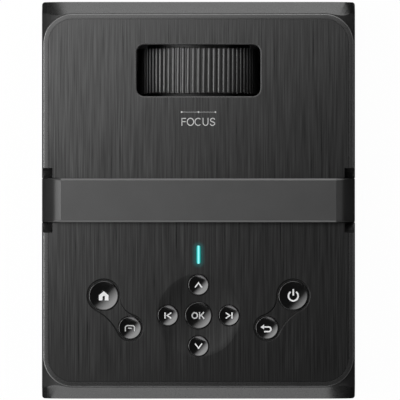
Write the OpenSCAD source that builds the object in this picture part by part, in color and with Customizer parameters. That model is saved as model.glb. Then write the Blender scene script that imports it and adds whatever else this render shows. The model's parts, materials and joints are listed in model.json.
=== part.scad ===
// Compact home video projector with a pull-up carrying handle.
// Frame: +Y is the front, where the lens looks out, +Z is up, and the origin
// lies on the table under the middle of the case.

/* [Case] */
// Width of the case, side to side
body_w = 158; // [152:1:180]
// Depth of the case, rear to front
body_d = 200; // [198:1:230]
// Height of the case above its feet
body_h = 80; // [78:1:95]
// Wall thickness of the case mouldings
wall = 2.2; // [1.8:0.1:2.6]
// Radius of the upright edges of the case
edge_r = 1.4; // [0.8:0.1:3]
// Height of the base tray up to the parting line
tray_h = 6; // [5:0.5:8]
// Chamfer round the underside of the tray
tray_chamfer = 1.5; // [0.5:0.1:2]
// Gap left between pieces that are fitted together
fit_gap = 0.15; // [0.1:0.05:0.25]
// Gap left between pieces that move past each other
run_gap = 0.3; // [0.25:0.05:0.4]

/* [Deck] */
// Thickness of the deck moulding
deck_t = 4; // [3.6:0.1:5]
// Drop of the sloping front and rear shoulders
shoulder_h = 6.5; // [5:0.5:7]
// Depth of the front and rear shoulders in plan
shoulder_d = 6; // [3:0.25:10]
// Inset of the raised deck at each side
side_inset = 0.75; // [0.3:0.05:2]
// Corner radius of the raised deck
deck_r = 15; // [8:1:18]
// Width of the deck's border round the panel
rim_w = 2.6; // [1.5:0.05:3.5]
// Height of the raised deck above the body under it
rim_h = 0.6; // [0.4:0.1:1]
// Radius that rounds the body's top towards its sides
side_r = 13; // [8:0.5:14]
// Thickness of the brushed top panel
panel_t = 1; // [0.6:0.1:1.4]
// Depth of the panel's face below the rim
panel_drop = 0.2; // [0:0.05:0.4]

/* [Handle] */
// Width of the handle, along the depth of the case
handle_w = 22; // [18:0.5:26]
// Thickness of the handle's band and legs
handle_t = 4; // [3:0.1:4.5]
// Gap between the handle's band and the panel
handle_gap = 1.2; // [0.8:0.1:3]
// Outer radius where the band bends into a leg
handle_r = 15; // [12:0.5:18]
// Angle of the crease where the band meets the bend
crease_angle = 25; // [10:1:40]
// Chamfer along the outer edges of the handle
handle_chamfer = 0.8; // [0.4:0.1:1.2]
// Length of a leg below the deck
leg_l = 52; // [48:1:56]
// Height that the handle pulls up
handle_lift = 28; // [20:1:30]
// Length of the finger scoop that the handle crosses
scoop_l = 32.6; // [30:0.2:38]
// Width of the finger scoop, from the side of the case
scoop_w = 5.5; // [4.5:0.1:7]
// Radius of the curved floor of the finger scoop
scoop_r = 17; // [17:0.5:24]

/* [Keys] */
// Radius of the concave dish that holds the five navigation keys
dish_r = 21.2; // [21:0.1:26]
// Depth of the concave dish at its middle
dish_depth = 0.9; // [0.6:0.1:1.6]
// Distance of the dish centre from the rear of the case
dish_from_rear = 42; // [36:0.5:48]
// Radius of the centre key
ok_r = 6.7; // [6:0.1:7]
// Radius of the four arrow keys
arrow_r = 5.15; // [4.5:0.05:5.3]
// Distance of the arrow keys from the centre key
arrow_offset = 15.4; // [15:0.1:16]
// Radius of the home and power keys
main_key_r = 7.4; // [6:0.1:8]
// Place of the home and power keys from the middle, as a share of the case's width
main_key_share = 0.302; // [0.29:0.001:0.316]
// Distance of the home and power keys from the rear of the case
main_key_from_rear = 52; // [48:0.5:56]
// Radius of the menu and back keys
small_key_r = 5.7; // [5:0.1:6.2]
// Place of the menu and back keys from the middle, as a share of the case's width
small_key_share = 0.2184; // [0.2:0.0002:0.23]
// Distance of the menu and back keys from the rear of the case
small_key_from_rear = 35.8; // [34:0.1:38]
// Height of a key's rim above the surface round it
key_rise = 0.7; // [0.6:0.1:1.2]
// Depth of the hollow in a key's cap
key_hollow = 0.8; // [0.4:0.1:1.2]
// Distance that a key travels when it is pressed
key_travel = 0.5; // [0.3:0.05:0.6]
// Width of the engraved outline round each pair of side keys
groove_w = 0.7; // [0.4:0.1:1]
// Width of the status light
light_w = 2.4; // [2:0.1:3]
// Length of the status light
light_l = 9.1; // [6:0.1:10]
// Distance of the status light from the rear of the case
light_from_rear = 72.6; // [70:0.2:76]

/* [Focus and lens] */
// Radius of the focus ring over its ribs
ring_r = 30.3; // [30:0.1:32]
// Length of the focus ring
ring_l = 22.7; // [20:0.1:24]
// Number of ribs round the focus ring
ring_ribs = 70; // [50:1:90]
// Height of the ribs on the focus ring
rib_h = 0.9; // [0.5:0.1:1.2]
// Depth of the focus ring's crest below the panel
ring_drop = 0.6; // [0.3:0.1:3]
// Distance of the focus ring's middle from the front of the case
ring_from_front = 34.6; // [34:0.1:36]
// Width of the focus window in the panel
window_w = 63.2; // [62.6:0.1:66]
// Gap between the focus ring's ends and the window
window_gap = 2.05; // [1.5:0.05:3]
// Corner radius of the focus window
window_r = 4.4; // [2:0.1:6]
// Outer radius of the sliding lens barrel
barrel_r = 22; // [21:0.1:22.2]
// Distance that the lens barrel moves each way from rest
focus_travel = 5; // [2:0.5:5]
// Radial running clearance of the lens barrel and the focus ring
turn_gap = 0.08; // [0.05:0.01:0.1]

/* [Light engine] */
// Inner width of the light tunnel
tunnel_w = 64; // [60:1:70]
// Inner height of the light tunnel
tunnel_h = 38; // [34:1:40]
// Wall thickness of the light tunnel
tunnel_wall = 2.5; // [2:0.1:3]
// Number of fins on the heat sink
sink_fins = 8; // [5:1:9]
// Depth of the heat sink's fins
sink_depth = 23; // [15:1:26]

/* [Fans and speakers] */
// Side of the square fan frames
fan_w = 50; // [46:1:50]
// Thickness of the fan frames
fan_t = 15; // [14:0.5:18]
// Number of blades on a fan
fan_blades = 7; // [5:1:9]
// Gap between the handle's channel and the fans
fan_gap = 4.5; // [3:0.5:8]
// Radius of the fan shaft
shaft_r = 1.5; // [1:0.1:2]
// Radius of the speaker frames
speaker_r = 20; // [17:0.5:22]
// Depth of the speakers
speaker_t = 17; // [15:0.5:20]
// Gap between the handle's channel and the speakers
speaker_gap = 13.5; // [10:0.5:16]
// Height of the fan and speaker axes in the case, as a share of its height
side_axis_share = 0.5375; // [0.5:0.0125:0.55]
// Thickness of the vent and speaker grilles
grille_t = 1.2; // [1:0.1:2]

/* [Base and boards] */
// Height of the feet below the case
foot_h = 3; // [2:0.5:5]
// Radius of the feet
foot_r = 8; // [6:0.5:9]
// Distance of the feet from the sides
foot_inset_x = 22; // [21:0.5:26]
// Distance of the feet from the front and the rear
foot_inset_y = 26; // [25:0.5:30]
// Distance of the case screws from the sides
screw_inset_x = 10; // [9:0.5:10.5]
// Distance of the case screws from the front and the rear
screw_inset_y = 12; // [11.5:0.5:13]
// Thread radius of the tripod socket
tripod_r = 3.175; // [3.175:0.001:4.763]
// Depth of the tripod socket
tripod_depth = 8; // [6:0.5:9]
// Width of the main circuit board
board_w = 114; // [110:1:116]
// Thickness of the circuit boards
board_t = 1.6; // [1:0.1:2]
// Height of the posts under the main circuit board
post_h = 8; // [7:0.5:9]

/* [Hidden] */
$fn = 64;

// Overshoot of a cut past the surface that it opens
cut = 1;

// Heights of the case
base_z = foot_h;
side_axis_z = base_z + side_axis_share * body_h;
floor_z = base_z + wall;
split_z = base_z + tray_h;
deck_z = base_z + body_h;
shoulder_z = deck_z - shoulder_h;
deck_under_z = deck_z - deck_t;
panel_floor_z = deck_z - panel_drop - panel_t;
panel_face_z = deck_z - panel_drop;

// Outlines of the case in plan
deck_w = body_w - 2 * side_inset;
deck_d = body_d - 2 * shoulder_d;
rim_r = deck_r - rim_w;
recess_w = deck_w - 2 * rim_w;
recess_d = deck_d - 2 * rim_w;
panel_w = recess_w - 2 * fit_gap;
panel_d = recess_d - 2 * fit_gap;
inner_w = body_w - 2 * wall;
inner_d = body_d - 2 * wall;
// Small ledge or lap between two surfaces of the housing
edge_flat = 0.2;
// Thickness of the housing where the shoulder meets the wall
shoulder_drop = 1;
// Facets to a circle in hulls, and degrees to a facet of the body's round upper corners
hull_fn = 32;
arch_step = 7.5;
// Fineness of the shallow spherical surfaces
sphere_fn = 360;

// Tongue of the tray inside the housing
tongue_t = 1;
tongue_h = 2;

// Handle profile, in the plane across the case
handle_top_z = panel_face_z + handle_gap + handle_t;
handle_x = body_w / 2;
bend_x = handle_x - handle_r;
bend_z = handle_top_z - handle_r * cos(crease_angle);
inner_bend_r = handle_r - handle_t;
outer_start = 90 - crease_angle;
inner_start = asin((handle_top_z - handle_t - bend_z) / inner_bend_r);
bend_steps = 10;
leg_bottom_z = deck_z - leg_l;

// Channel in the side of the housing that guides a leg
channel_wall = 3.6;
channel_x = handle_x - handle_t - run_gap;
channel_in_x = channel_x - channel_wall;
channel_half = handle_w / 2 + run_gap;
channel_bottom_z = leg_bottom_z - run_gap;
channel_end_y = scoop_l / 2 + wall;
scoop_x = body_w / 2 - scoop_w;
scoop_z = deck_z + sqrt(scoop_r * scoop_r - scoop_l * scoop_l / 4);

// Slider behind each leg, with its neck in an upright slot
neck_half = 4;
neck_h = 8;
neck_up = 2;
slider_half = 7;
slider_t = 2.2;
slot_low_z = leg_bottom_z + neck_up - run_gap;
slot_high_z = leg_bottom_z + neck_up + neck_h + handle_lift + run_gap;

// Keys: place, radius and height of the surface round them
dish_y = dish_from_rear - body_d / 2;
// Width of the level edge round the dish
dish_land = 0.3;
dish_sphere_r = (pow(dish_r - dish_land, 2) + dish_depth * dish_depth) / (2 * dish_depth);
function dish_z(r) = panel_face_z - dish_depth + r * r / (2 * dish_sphere_r);
main_key_x = main_key_share * body_w;
main_key_y = main_key_from_rear - body_d / 2;
small_key_x = small_key_share * body_w;
small_key_y = small_key_from_rear - body_d / 2;
KEY_OK = [0, dish_y, ok_r, dish_z(0)];
KEY_UP = [0, dish_y + arrow_offset, arrow_r, dish_z(arrow_offset)];
KEY_DOWN = [0, dish_y - arrow_offset, arrow_r, dish_z(arrow_offset)];
KEY_PREVIOUS = [-arrow_offset, dish_y, arrow_r, dish_z(arrow_offset)];
KEY_NEXT = [arrow_offset, dish_y, arrow_r, dish_z(arrow_offset)];
KEY_HOME = [-main_key_x, main_key_y, main_key_r, panel_face_z];
KEY_MENU = [-small_key_x, small_key_y, small_key_r, panel_face_z];
KEY_POWER = [main_key_x, main_key_y, main_key_r, panel_face_z];
KEY_BACK = [small_key_x, small_key_y, small_key_r, panel_face_z];
DISH_KEYS = [KEY_OK, KEY_UP, KEY_DOWN, KEY_PREVIOUS, KEY_NEXT];
SIDE_KEYS = [KEY_HOME, KEY_MENU, KEY_POWER, KEY_BACK];
ALL_KEYS = concat(DISH_KEYS, SIDE_KEYS);
key_hole_gap = 0.35;
flange_w = 1.1;
flange_t = 1.2;
stem_r = 1.6;
stem_l = 1.4;
dish_floor_t = 1.1;
dish_floor_z = panel_face_z - dish_depth - dish_floor_t;
dish_fit_r = dish_r + fit_gap;
stem_end_z = deck_under_z - run_gap - flange_t - stem_l;

// Key switches and their board
switch_w = 6;
switch_h = 3.5;
plunger_r = 1.7;
plunger_h = 1;
key_board_top_z = stem_end_z - key_travel - run_gap - plunger_h - switch_h;
// Gap between the key board and the fans
key_board_gap = 3.9;
// Width of the key board beyond the light and the rear key
key_board_front_edge = 2;
key_board_rear_edge = 10;
side_face_x = inner_w / 2 - grille_t;
// Radius of the hollow's upper corners, which stay above the side grilles
inner_side_r = min(side_r - wall, deck_under_z - side_axis_z - fan_w / 2 - fit_gap);
key_board_half_w = side_face_x - fan_t - key_board_gap;
light_y = light_from_rear - body_d / 2;
key_board_front_y = light_y + light_l / 2 + key_board_front_edge;
key_board_rear_y = dish_y - arrow_offset - key_board_rear_edge;
board_boss_r = 3;
board_boss_in = 4;

// Engraved outline round a pair of side keys
groove_depth = 0.35;
groove_margin = 0.95;
outer_fillet_r = 9;
inner_fillet_r = 24;
// Small gap that keeps the round waist from ending in a knife edge
waist_gap = 0.05;

// Focus ring, lens tube and barrel, all on the lens axis
axis_z = panel_face_z - ring_drop - ring_r;
ring_y = body_d / 2 - ring_from_front;
ring_rear_y = ring_y - ring_l / 2;
ring_front_y = ring_y + ring_l / 2;
window_d = ring_l + 2 * window_gap;
tube_in_r = barrel_r + turn_gap;
tube_wall = 2.1;
tube_r = tube_in_r + tube_wall;
ring_bore_r = tube_r + turn_gap;
ring_skin = 2.2;
cam_r = ring_r - rib_h - ring_skin;
// One rib's outline: shares of its step where it leaves a valley, is full, ends and is back in a valley
rib_shares = [0.08, 0.25, 0.65, 0.82];
stop_w = 1.8;
stop_r = tube_r + stop_w;
stop_l = 3;
clip_l = 1.5;
tube_nose_l = 12;
tube_front_y = ring_front_y + run_gap + clip_l + tube_nose_l;
tube_flange_w = 2.4;
tube_flange_r = tube_r + tube_flange_w;
tube_flange_t = 4;
tube_neck_l = 11;
tunnel_front_y = ring_rear_y - run_gap - stop_l - tube_neck_l;
pin_r = 1.5;
pin_depth = 1.2;
pin_in_r = barrel_r - pin_depth;
pin_end_gap = 0.4;
pin_out_r = cam_r - pin_end_gap;
pin_angles = [30, 150, 270];
barrel_nose_l = 1;
barrel_front_y = tube_front_y + barrel_nose_l;
barrel_l = 44;
barrel_rear_y = barrel_front_y - barrel_l;
barrel_wall = 1.7;
front_seat_r = barrel_r - barrel_wall;
rear_seat_wall = 3.6;
rear_seat_r = barrel_r - rear_seat_wall;
stop_wall = 5;
stop_bore_r = barrel_r - stop_wall;
front_seat_l = 16;
rear_seat_l = 12;
// Radii of a lens's strongly and weakly curved faces
lens_strong_r = 2 * barrel_r;
lens_weak_r = 4 * barrel_r;
front_lens_t = 9.6;
rear_lens_t = 8;
retainer_t = 1.8;
bezel_w = 2;
bezel_r = barrel_r + bezel_w;
bezel_t = 1;
bezel_gap = 0.4;
bezel_in_r = barrel_r + bezel_gap;
bezel_wall = 0.8;
bezel_collar_r = bezel_in_r + bezel_wall;

// Helical grooves in the focus ring: the ring turns this far each way from rest
focus_turn = 70;
cam_rise = focus_travel / focus_turn;
cam_mid_r = (ring_bore_r + cam_r) / 2;
cam_lead = atan(cam_rise * 180 / PI / cam_mid_r);
cam_half_w = (pin_r + run_gap) / cos(cam_lead);
cam_end = focus_turn + asin((pin_r + run_gap) / ring_bore_r);
cam_steps = 20;

// Light tunnel and what it holds, from the lens to the heat sink
tunnel_gap = 0.6;
tunnel_rear_y = key_board_front_y + tunnel_gap;
tunnel_l = tunnel_front_y - tunnel_rear_y;
fresnel_t = 2;
lcd_t = 2.4;
condenser_r = 17;
condenser_t = 8;
condenser_face_r = 1.3 * condenser_r;
lamp_hole_in = 2;
lamp_hole_r = condenser_r - lamp_hole_in;
// Places in the tunnel, as shares of its length from its front
front_fresnel_share = 1 / 6;
lcd_share = 0.3;
rear_fresnel_share = 0.45;
condenser_share = 0.85;
front_fresnel_y = tunnel_front_y - front_fresnel_share * tunnel_l;
lcd_y = tunnel_front_y - lcd_share * tunnel_l;
rear_fresnel_y = tunnel_front_y - rear_fresnel_share * tunnel_l;
condenser_y = tunnel_front_y - condenser_share * tunnel_l;
plate_corner_r = 1.5;
led_t = 3;
led_w = 44;
led_h = 30;
led_chip_w = 14;
led_chip_t = 1.2;
sink_w = 62;
sink_h = 32;
sink_base_t = 4;
fin_t = 1.3;
sink_front_y = tunnel_rear_y - led_t;
tunnel_foot_r = 5;
tunnel_foot_in = 8;

// Fans
fan_y = -channel_end_y - fan_gap - fan_w / 2;
fan_rim = 1.6;
fan_bore_r = fan_w / 2 - fan_rim;
fan_corner_r = 3;
blade_gap = 0.6;
hub_r = 12;
hub_wall = 1.3;
hub_low = 3;
hub_top_t = 1.6;
hub_top_gap = 0.8;
spider_t = 1.5;
spider_r = 10;
strut_w = 3;
strut_lap = 1;
strut_angles = [90, 210, 330];
bearing_r = 3.2;
bearing_h = 8;
shaft_gap = 0.05;
shaft_low = 0.6;
stator_r = 9.4;
stator_h = 6;
blade_t = 1.2;
blade_pitch = 38;
blade_chord = 11;
grille_lap = 2;
opening_r = 4;
vent_w = fan_w - 2 * grille_lap;
vent_frame = 2.5;
vent_slots = 9;
vent_slot_h = 3;

// Speakers
speaker_y = channel_end_y + speaker_gap + speaker_r;
speaker_rim_t = 2;
magnet_r = 11;
magnet_t = 7;
basket_r = 12;
basket_wall = 1.5;
cone_depth = 5;
speaker_hole_w = 2 * speaker_r - 2 * grille_lap;
speaker_frame = 2;
hole_r = 1.2;
hole_rows = 8;

// Rear panel and its sockets
rear_w = 132;
rear_r = 4;
rear_flange = 2;
rear_flange_t = 1.4;
rear_set_back = 0.3;
rear_low_z = split_z + tongue_h + rear_flange + run_gap;
rear_high_margin = 8;
rear_high_z = shoulder_z - rear_high_margin;
rear_out_y = -body_d / 2 + rear_set_back;
rear_in_y = -body_d / 2 + wall + rear_flange_t;
board_z = floor_z + post_h;
board_top_z = board_z + board_t;
board_rear_gap = 0.6;
board_rear_y = rear_in_y + board_rear_gap;
// Gap between the main board and the rear feet of the light tunnel
board_front_gap = 8.5;
board_d = tunnel_rear_y + tunnel_foot_in - tunnel_foot_r - board_front_gap - board_rear_y;
post_r = 3;
post_in = 5;
socket_gap = 0.3;
// Each socket: place across the rear panel, width, height and depth
HDMI = [-24, 15, 5.6, 12];
USB = [-2, 13.2, 5.8, 14];
AV_JACK = [18, 7, 6.4, 13];
POWER_JACK = [40, 9, 9, 13];
IR = [-46, 7, 7, 5];
// Sheet of the flat sockets' shells
hdmi_shell = 0.6;
usb_shell = 0.7;
// Round jacks: step from the block to the nose, and radius and length of each bore
nose_step = 0.2;
av_bore_r = 1.8;
av_bore_l = 11;
power_bore_r = 2.8;
power_bore_l = 10;
power_pin_r = 1;
power_pin_l = 9.2;
ir_window_w = 11;
ir_window_h = 7;
ir_up = 4;
ir_z = board_top_z + ir_up;
ir_corner_r = 1;

// Base
boss_r = 5;
screw_head_r = 2.9;
screw_head_t = 2.4;
screw_core_r = 1.2;
pilot_gap = 0.05;
pilot_r = screw_core_r + pilot_gap;
head_gap = 0.3;
head_seat_h = 3;
head_seat_z = base_z + head_seat_h;
shank_hole_r = 1.7;
pillar_r = 4;
pilot_depth = 13;
shank_l = 14;
foot_pocket = 1;
insert_skin = 2;
insert_r = tripod_r + insert_skin;
insert_wall = 1;
insert_boss_w = 2.2;
insert_boss_r = insert_r + insert_boss_w;
insert_y = 12;

// Air slots in the floor of the tray
floor_slots = 11;
floor_slot_w = 2.4;
floor_slot_l = 30;
floor_slot_pitch = 6;

// Plate with rounded corners, drawn flat round its middle
module rounded_rect(w, d, r) {
    square([w - 2 * r, d], center = true);
    square([w, d - 2 * r], center = true);
    for (x = [-1, 1], y = [-1, 1])
        translate([x * (w / 2 - r), y * (d / 2 - r)])
            circle(r);
}

module rounded_plate(w, d, r, t) {
    linear_extrude(t)
        rounded_rect(w, d, r);
}

// Plate that stands across the lens axis, from y towards the front by t
module upright_plate(w, h, r, y, t) {
    translate([0, y + t, axis_z])
        rotate([90, 0, 0])
            rounded_plate(w, h, r, t);
}

// Cylinder along the lens axis, from y0 to y1
module lens_cylinder(r, y0, y1) {
    translate([0, y1, axis_z])
        rotate([90, 0, 0])
            cylinder(r = r, h = y1 - y0);
}

// Box given by its two corners
module box(low, high) {
    translate(low)
        cube(high - low);
}

// Repeat at the four corners, x and y from the middle
module at_corners(x, y) {
    for (sx = [-1, 1], sy = [-1, 1])
        translate([sx * x, sy * y, 0])
            children();
}

// Draw as it is on the right, and mirrored on the left
module both_sides() {
    children();
    mirror([1, 0, 0])
        children();
}

// Upright section of the body, from one foot over the round upper corners to the other foot
function arch_points(w, r, low, high) = concat([[-w / 2, low]],
    [for (a = [180 : -arch_step : 90]) [r - w / 2 + r * cos(a), high - r + r * sin(a)]],
    [for (a = [90 : -arch_step : 0]) [w / 2 - r + r * cos(a), high - r + r * sin(a)]],
    [[w / 2, low]]);

// Body with that section, level over the depth top_d and sloping down to end_z at the depth d
module sloped_body(w, r, low, top_z, top_d, end_z, d) {
    stations = [[-d / 2, end_z], [-top_d / 2, top_z], [top_d / 2, top_z], [d / 2, end_z]];
    s = len(arch_points(w, r, low, top_z));
    last = len(stations) - 1;
    points = [for (e = stations) for (p = arch_points(w, r, low, e[1])) [p[0], e[0], p[1]]];
    sides = [for (i = [0 : last - 1], j = [0 : s - 1])
        let (a = i * s + j, b = i * s + (j + 1) % s)
        for (t = [[a, a + s, b + s], [a, b + s, b]]) t];
    rear = [for (j = [1 : s - 2]) [0, j, j + 1]];
    front = [for (j = [1 : s - 2]) [last * s, last * s + j + 1, last * s + j]];
    polyhedron(points, concat(sides, rear, front));
}

// Outer form of the housing: body with sloping shoulders, and the raised deck
module housing_outer() {
    intersection() {
        sloped_body(body_w + 2 * edge_flat, side_r, split_z - cut, deck_z - rim_h, deck_d + 2 * edge_flat,
            shoulder_z, body_d + 2 * edge_flat);
        translate([0, 0, split_z])
            rounded_plate(body_w, body_d, edge_r, body_h);
    }
    translate([0, 0, shoulder_z - side_r])
        rounded_plate(deck_w, deck_d, deck_r, shoulder_h + side_r);
}

// Hollow of the housing
module housing_inner() {
    sloped_body(inner_w, inner_side_r, split_z - cut, deck_under_z, deck_d - 2 * wall,
        shoulder_z - shoulder_drop, inner_d);
}

// Room for the handle at rest and while it is pulled up, on the right
module handle_room() {
    box([channel_x, -channel_half, channel_bottom_z], [handle_x + cut, channel_half, handle_top_z + cut]);
    difference() {
        box([bend_x, -channel_half, bend_z], [handle_x + cut, channel_half, handle_top_z]);
        translate([bend_x, channel_half + cut, bend_z])
            rotate([90, 0, 0])
                cylinder(r = inner_bend_r - run_gap, h = 2 * (channel_half + cut));
        box([bend_x - cut, -channel_half - cut, bend_z - cut],
            [bend_x + inner_bend_r * cos(inner_start) - run_gap, channel_half + cut, deck_z + cut]);
    }
}

// Finger scoop beside the handle, on the right
module finger_scoop() {
    translate([scoop_x, 0, scoop_z])
        rotate([0, 90, 0])
            cylinder(r = scoop_r, h = scoop_w + cut);
}

// Column of holes through the deck for the keys
module key_holes(keys) {
    for (k = keys)
        translate([k[0], k[1], deck_under_z - cut])
            cylinder(r = k[2] + key_hole_gap, h = deck_t + 2 * cut);
}

// Upright bar with round ends, w across and l along Y
module round_bar(w, l, h) {
    linear_extrude(h) {
        square([w, l - w], center = true);
        for (y = [-1, 1])
            translate([0, y * (l - w) / 2])
                circle(w / 2);
    }
}

// Bar at the place of the status light
module light_bar(gap, z, h) {
    translate([0, light_y, z])
        round_bar(light_w + 2 * gap, light_l + 2 * gap, h);
}

module light_slot() {
    light_bar(fit_gap, deck_under_z - cut, deck_t + 2 * cut);
}

module focus_window() {
    translate([0, ring_y, deck_under_z - cut])
        rounded_plate(window_w, window_d, window_r, deck_t + 2 * cut);
}

// Centre of the circle of radius r that touches the circles a and b, on one side
function fillet_centre(a, b, r, side) =
    let (d = [b[0] - a[0], b[1] - a[1]],
        l = norm(d),
        ra = a[2] + r,
        rb = b[2] + r,
        along = (l * l + ra * ra - rb * rb) / (2 * l),
        out = sqrt(ra * ra - along * along))
    [a[0] + d[0] / l * along - side * d[1] / l * out, a[1] + d[1] / l * along + side * d[0] / l * out];

// Two circles joined by a waist, as round a large and a small key
module waisted_pair(a, b, shrink) {
    outer = fillet_centre(a, b, outer_fillet_r, -1);
    inner = fillet_centre(a, b, inner_fillet_r, 1);
    translate([a[0], a[1]])
        circle(a[2] - shrink);
    translate([b[0], b[1]])
        circle(b[2] - shrink);
    difference() {
        polygon([[a[0], a[1]], outer, [b[0], b[1]], inner]);
        translate(outer)
            circle(outer_fillet_r + shrink - waist_gap);
        translate(inner)
            circle(inner_fillet_r + shrink - waist_gap);
    }
}

module base_shell() {
    color("#232323") difference() {
        union() {
            difference() {
                hull($fn = hull_fn) {
                    translate([0, 0, base_z])
                        rounded_plate(body_w - 2 * tray_chamfer, body_d - 2 * tray_chamfer, edge_r, edge_flat,
                            $fn = hull_fn);
                    translate([0, 0, base_z + tray_chamfer])
                        rounded_plate(body_w, body_d, edge_r, tray_h - tray_chamfer, $fn = hull_fn);
                }
                translate([0, 0, floor_z])
                    rounded_plate(inner_w, inner_d, edge_r, tray_h);
            }
            tray_tongue();
            at_corners(body_w / 2 - screw_inset_x, body_d / 2 - screw_inset_y)
                translate([0, 0, base_z])
                    cylinder(r = boss_r, h = tray_h);
            at_corners(body_w / 2 - foot_inset_x, body_d / 2 - foot_inset_y)
                translate([0, 0, base_z])
                    cylinder(r = foot_r + wall, h = wall + foot_pocket);
            board_posts();
            translate([0, insert_y, base_z])
                cylinder(r = insert_boss_r, h = tripod_depth + 2 * insert_wall);
        }
        at_corners(body_w / 2 - screw_inset_x, body_d / 2 - screw_inset_y) {
            translate([0, 0, base_z - cut])
                cylinder(r = screw_head_r + head_gap, h = head_seat_z - base_z + cut);
            translate([0, 0, base_z])
                cylinder(r = shank_hole_r, h = tray_h + cut);
        }
        at_corners(body_w / 2 - foot_inset_x, body_d / 2 - foot_inset_y)
            translate([0, 0, base_z - cut])
                cylinder(r = foot_r + fit_gap, h = foot_pocket + cut);
        translate([0, insert_y, base_z - cut])
            cylinder(r = insert_r + fit_gap, h = tripod_depth + insert_wall + cut);
        for (i = [0 : floor_slots - 1])
            translate([(i - (floor_slots - 1) / 2) * floor_slot_pitch, fan_y, base_z - cut])
                round_bar(floor_slot_w, floor_slot_l, wall + 2 * cut);
    }
}

// Low wall that keys the tray into the housing, clear of the corner pillars
module tray_tongue() {
    w = inner_w - 2 * fit_gap;
    d = inner_d - 2 * fit_gap;
    translate([0, 0, floor_z])
        difference() {
            rounded_plate(w, d, edge_r, tray_h - wall + tongue_h);
            translate([0, 0, -cut])
                rounded_plate(w - 2 * tongue_t, d - 2 * tongue_t, edge_r, tray_h + tongue_h + 2 * cut);
        }
}

// Posts that carry the main circuit board
module board_posts() {
    for (x = [-1, 1], y = [board_rear_y + post_in, board_rear_y + board_d - post_in])
        translate([x * (board_w / 2 - post_in), y, base_z])
            cylinder(r = post_r, h = wall + post_h);
}

module top_housing() {
    color("#2b2b2b") difference() {
        union() {
            difference() {
                housing_outer();
                difference() {
                    housing_inner();
                    both_sides()
                        box([channel_in_x, -channel_end_y, channel_bottom_z - wall],
                            [body_w / 2, channel_end_y, deck_z]);
                }
            }
            housing_pillars();
            board_bosses();
        }
        translate([0, 0, panel_floor_z])
            rounded_plate(recess_w, recess_d, rim_r, deck_t);
        translate([0, dish_y, dish_floor_z])
            cylinder(r = dish_fit_r, h = deck_t);
        key_holes(ALL_KEYS);
        light_slot();
        focus_window();
        both_sides() {
            handle_room();
            finger_scoop();
            slider_slot();
            fan_opening();
            speaker_opening();
        }
        lens_opening();
        rear_opening();
    }
}

// Corner pillars that take the case screws
module housing_pillars() {
    at_corners(body_w / 2 - screw_inset_x, body_d / 2 - screw_inset_y)
        difference() {
            translate([0, 0, split_z])
                cylinder(r = pillar_r, h = deck_under_z - split_z + edge_flat);
            translate([0, 0, split_z - cut])
                cylinder(r = pilot_r, h = pilot_depth + cut);
        }
}

// Bosses under the deck that carry the key board
module board_bosses() {
    for (x = [-1, 1], y = [key_board_rear_y + board_boss_in, key_board_front_y - board_boss_in])
        translate([x * (key_board_half_w - board_boss_in), y, key_board_top_z])
            cylinder(r = board_boss_r, h = deck_under_z - key_board_top_z + edge_flat);
}

module slider_slot() {
    box([channel_in_x - cut, -neck_half - run_gap, slot_low_z],
        [channel_x + cut, neck_half + run_gap, slot_high_z]);
}

// Square opening with rounded corners through the right wall
module side_opening(y, w) {
    translate([inner_w / 2 - cut, y, side_axis_z])
        rotate([0, 90, 0])
            rounded_plate(w, w, opening_r, wall + 2 * cut);
}

module fan_opening() {
    side_opening(fan_y, vent_w);
}

module speaker_opening() {
    side_opening(speaker_y, speaker_hole_w);
}

module lens_opening() {
    lens_cylinder(bezel_collar_r + fit_gap, inner_d / 2 - cut, body_d / 2 + cut);
    lens_cylinder(bezel_r + fit_gap, body_d / 2 - bezel_t, body_d / 2 + cut);
}

// Upright rounded plate in the rear wall, from y0 to y1
module rear_plate(w, low, high, r, y0, y1) {
    translate([0, y1, (low + high) / 2])
        rotate([90, 0, 0])
            rounded_plate(w, high - low, r, y1 - y0);
}

module rear_opening() {
    rear_plate(rear_w + 2 * fit_gap, rear_low_z - fit_gap, rear_high_z + fit_gap, rear_r + fit_gap,
        -body_d / 2 - cut, -inner_d / 2 + cut);
}

module top_panel() {
    color("#454545") difference() {
        translate([0, 0, panel_floor_z])
            rounded_plate(panel_w, panel_d, rim_r - fit_gap, panel_t);
        translate([0, dish_y, panel_floor_z - cut])
            cylinder(r = dish_fit_r, h = panel_t + 2 * cut);
        key_holes(SIDE_KEYS);
        light_slot();
        focus_window();
        both_sides() {
            handle_room();
            finger_scoop();
        }
        translate([0, 0, panel_face_z - groove_depth])
            linear_extrude(panel_t)
                both_sides()
                    difference() {
                        waisted_pair(grown(KEY_POWER), grown(KEY_BACK), 0);
                        waisted_pair(grown(KEY_POWER), grown(KEY_BACK), groove_w);
                    }
    }
}

// Key's place with the radius of the engraved outline round it
function grown(k) = [k[0], k[1], k[2] + key_hole_gap + groove_margin];

module rear_panel() {
    color("#1c1c1c") difference() {
        union() {
            rear_plate(rear_w, rear_low_z, rear_high_z, rear_r, rear_out_y, -inner_d / 2 + edge_flat);
            rear_plate(rear_w + 2 * rear_flange, rear_low_z - rear_flange, rear_high_z + rear_flange,
                rear_r, -inner_d / 2, rear_in_y);
        }
        for (s = [HDMI, USB])
            translate([s[0] - s[1] / 2 - socket_gap, rear_out_y - cut, board_top_z - socket_gap])
                cube([s[1] + 2 * socket_gap, rear_in_y - rear_out_y + 2 * cut, s[2] + 2 * socket_gap]);
        for (s = [AV_JACK, POWER_JACK])
            translate([s[0], rear_in_y + cut, board_top_z + s[2] / 2])
                rotate([90, 0, 0])
                    cylinder(r = nose_r(s) + socket_gap, h = rear_in_y - rear_out_y + 2 * cut);
        translate([IR[0], rear_in_y + cut, ir_z])
            rotate([90, 0, 0])
                rounded_plate(ir_window_w + 2 * fit_gap, ir_window_h + 2 * fit_gap, ir_corner_r,
                    rear_in_y - rear_out_y + 2 * cut);
    }
}

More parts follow.
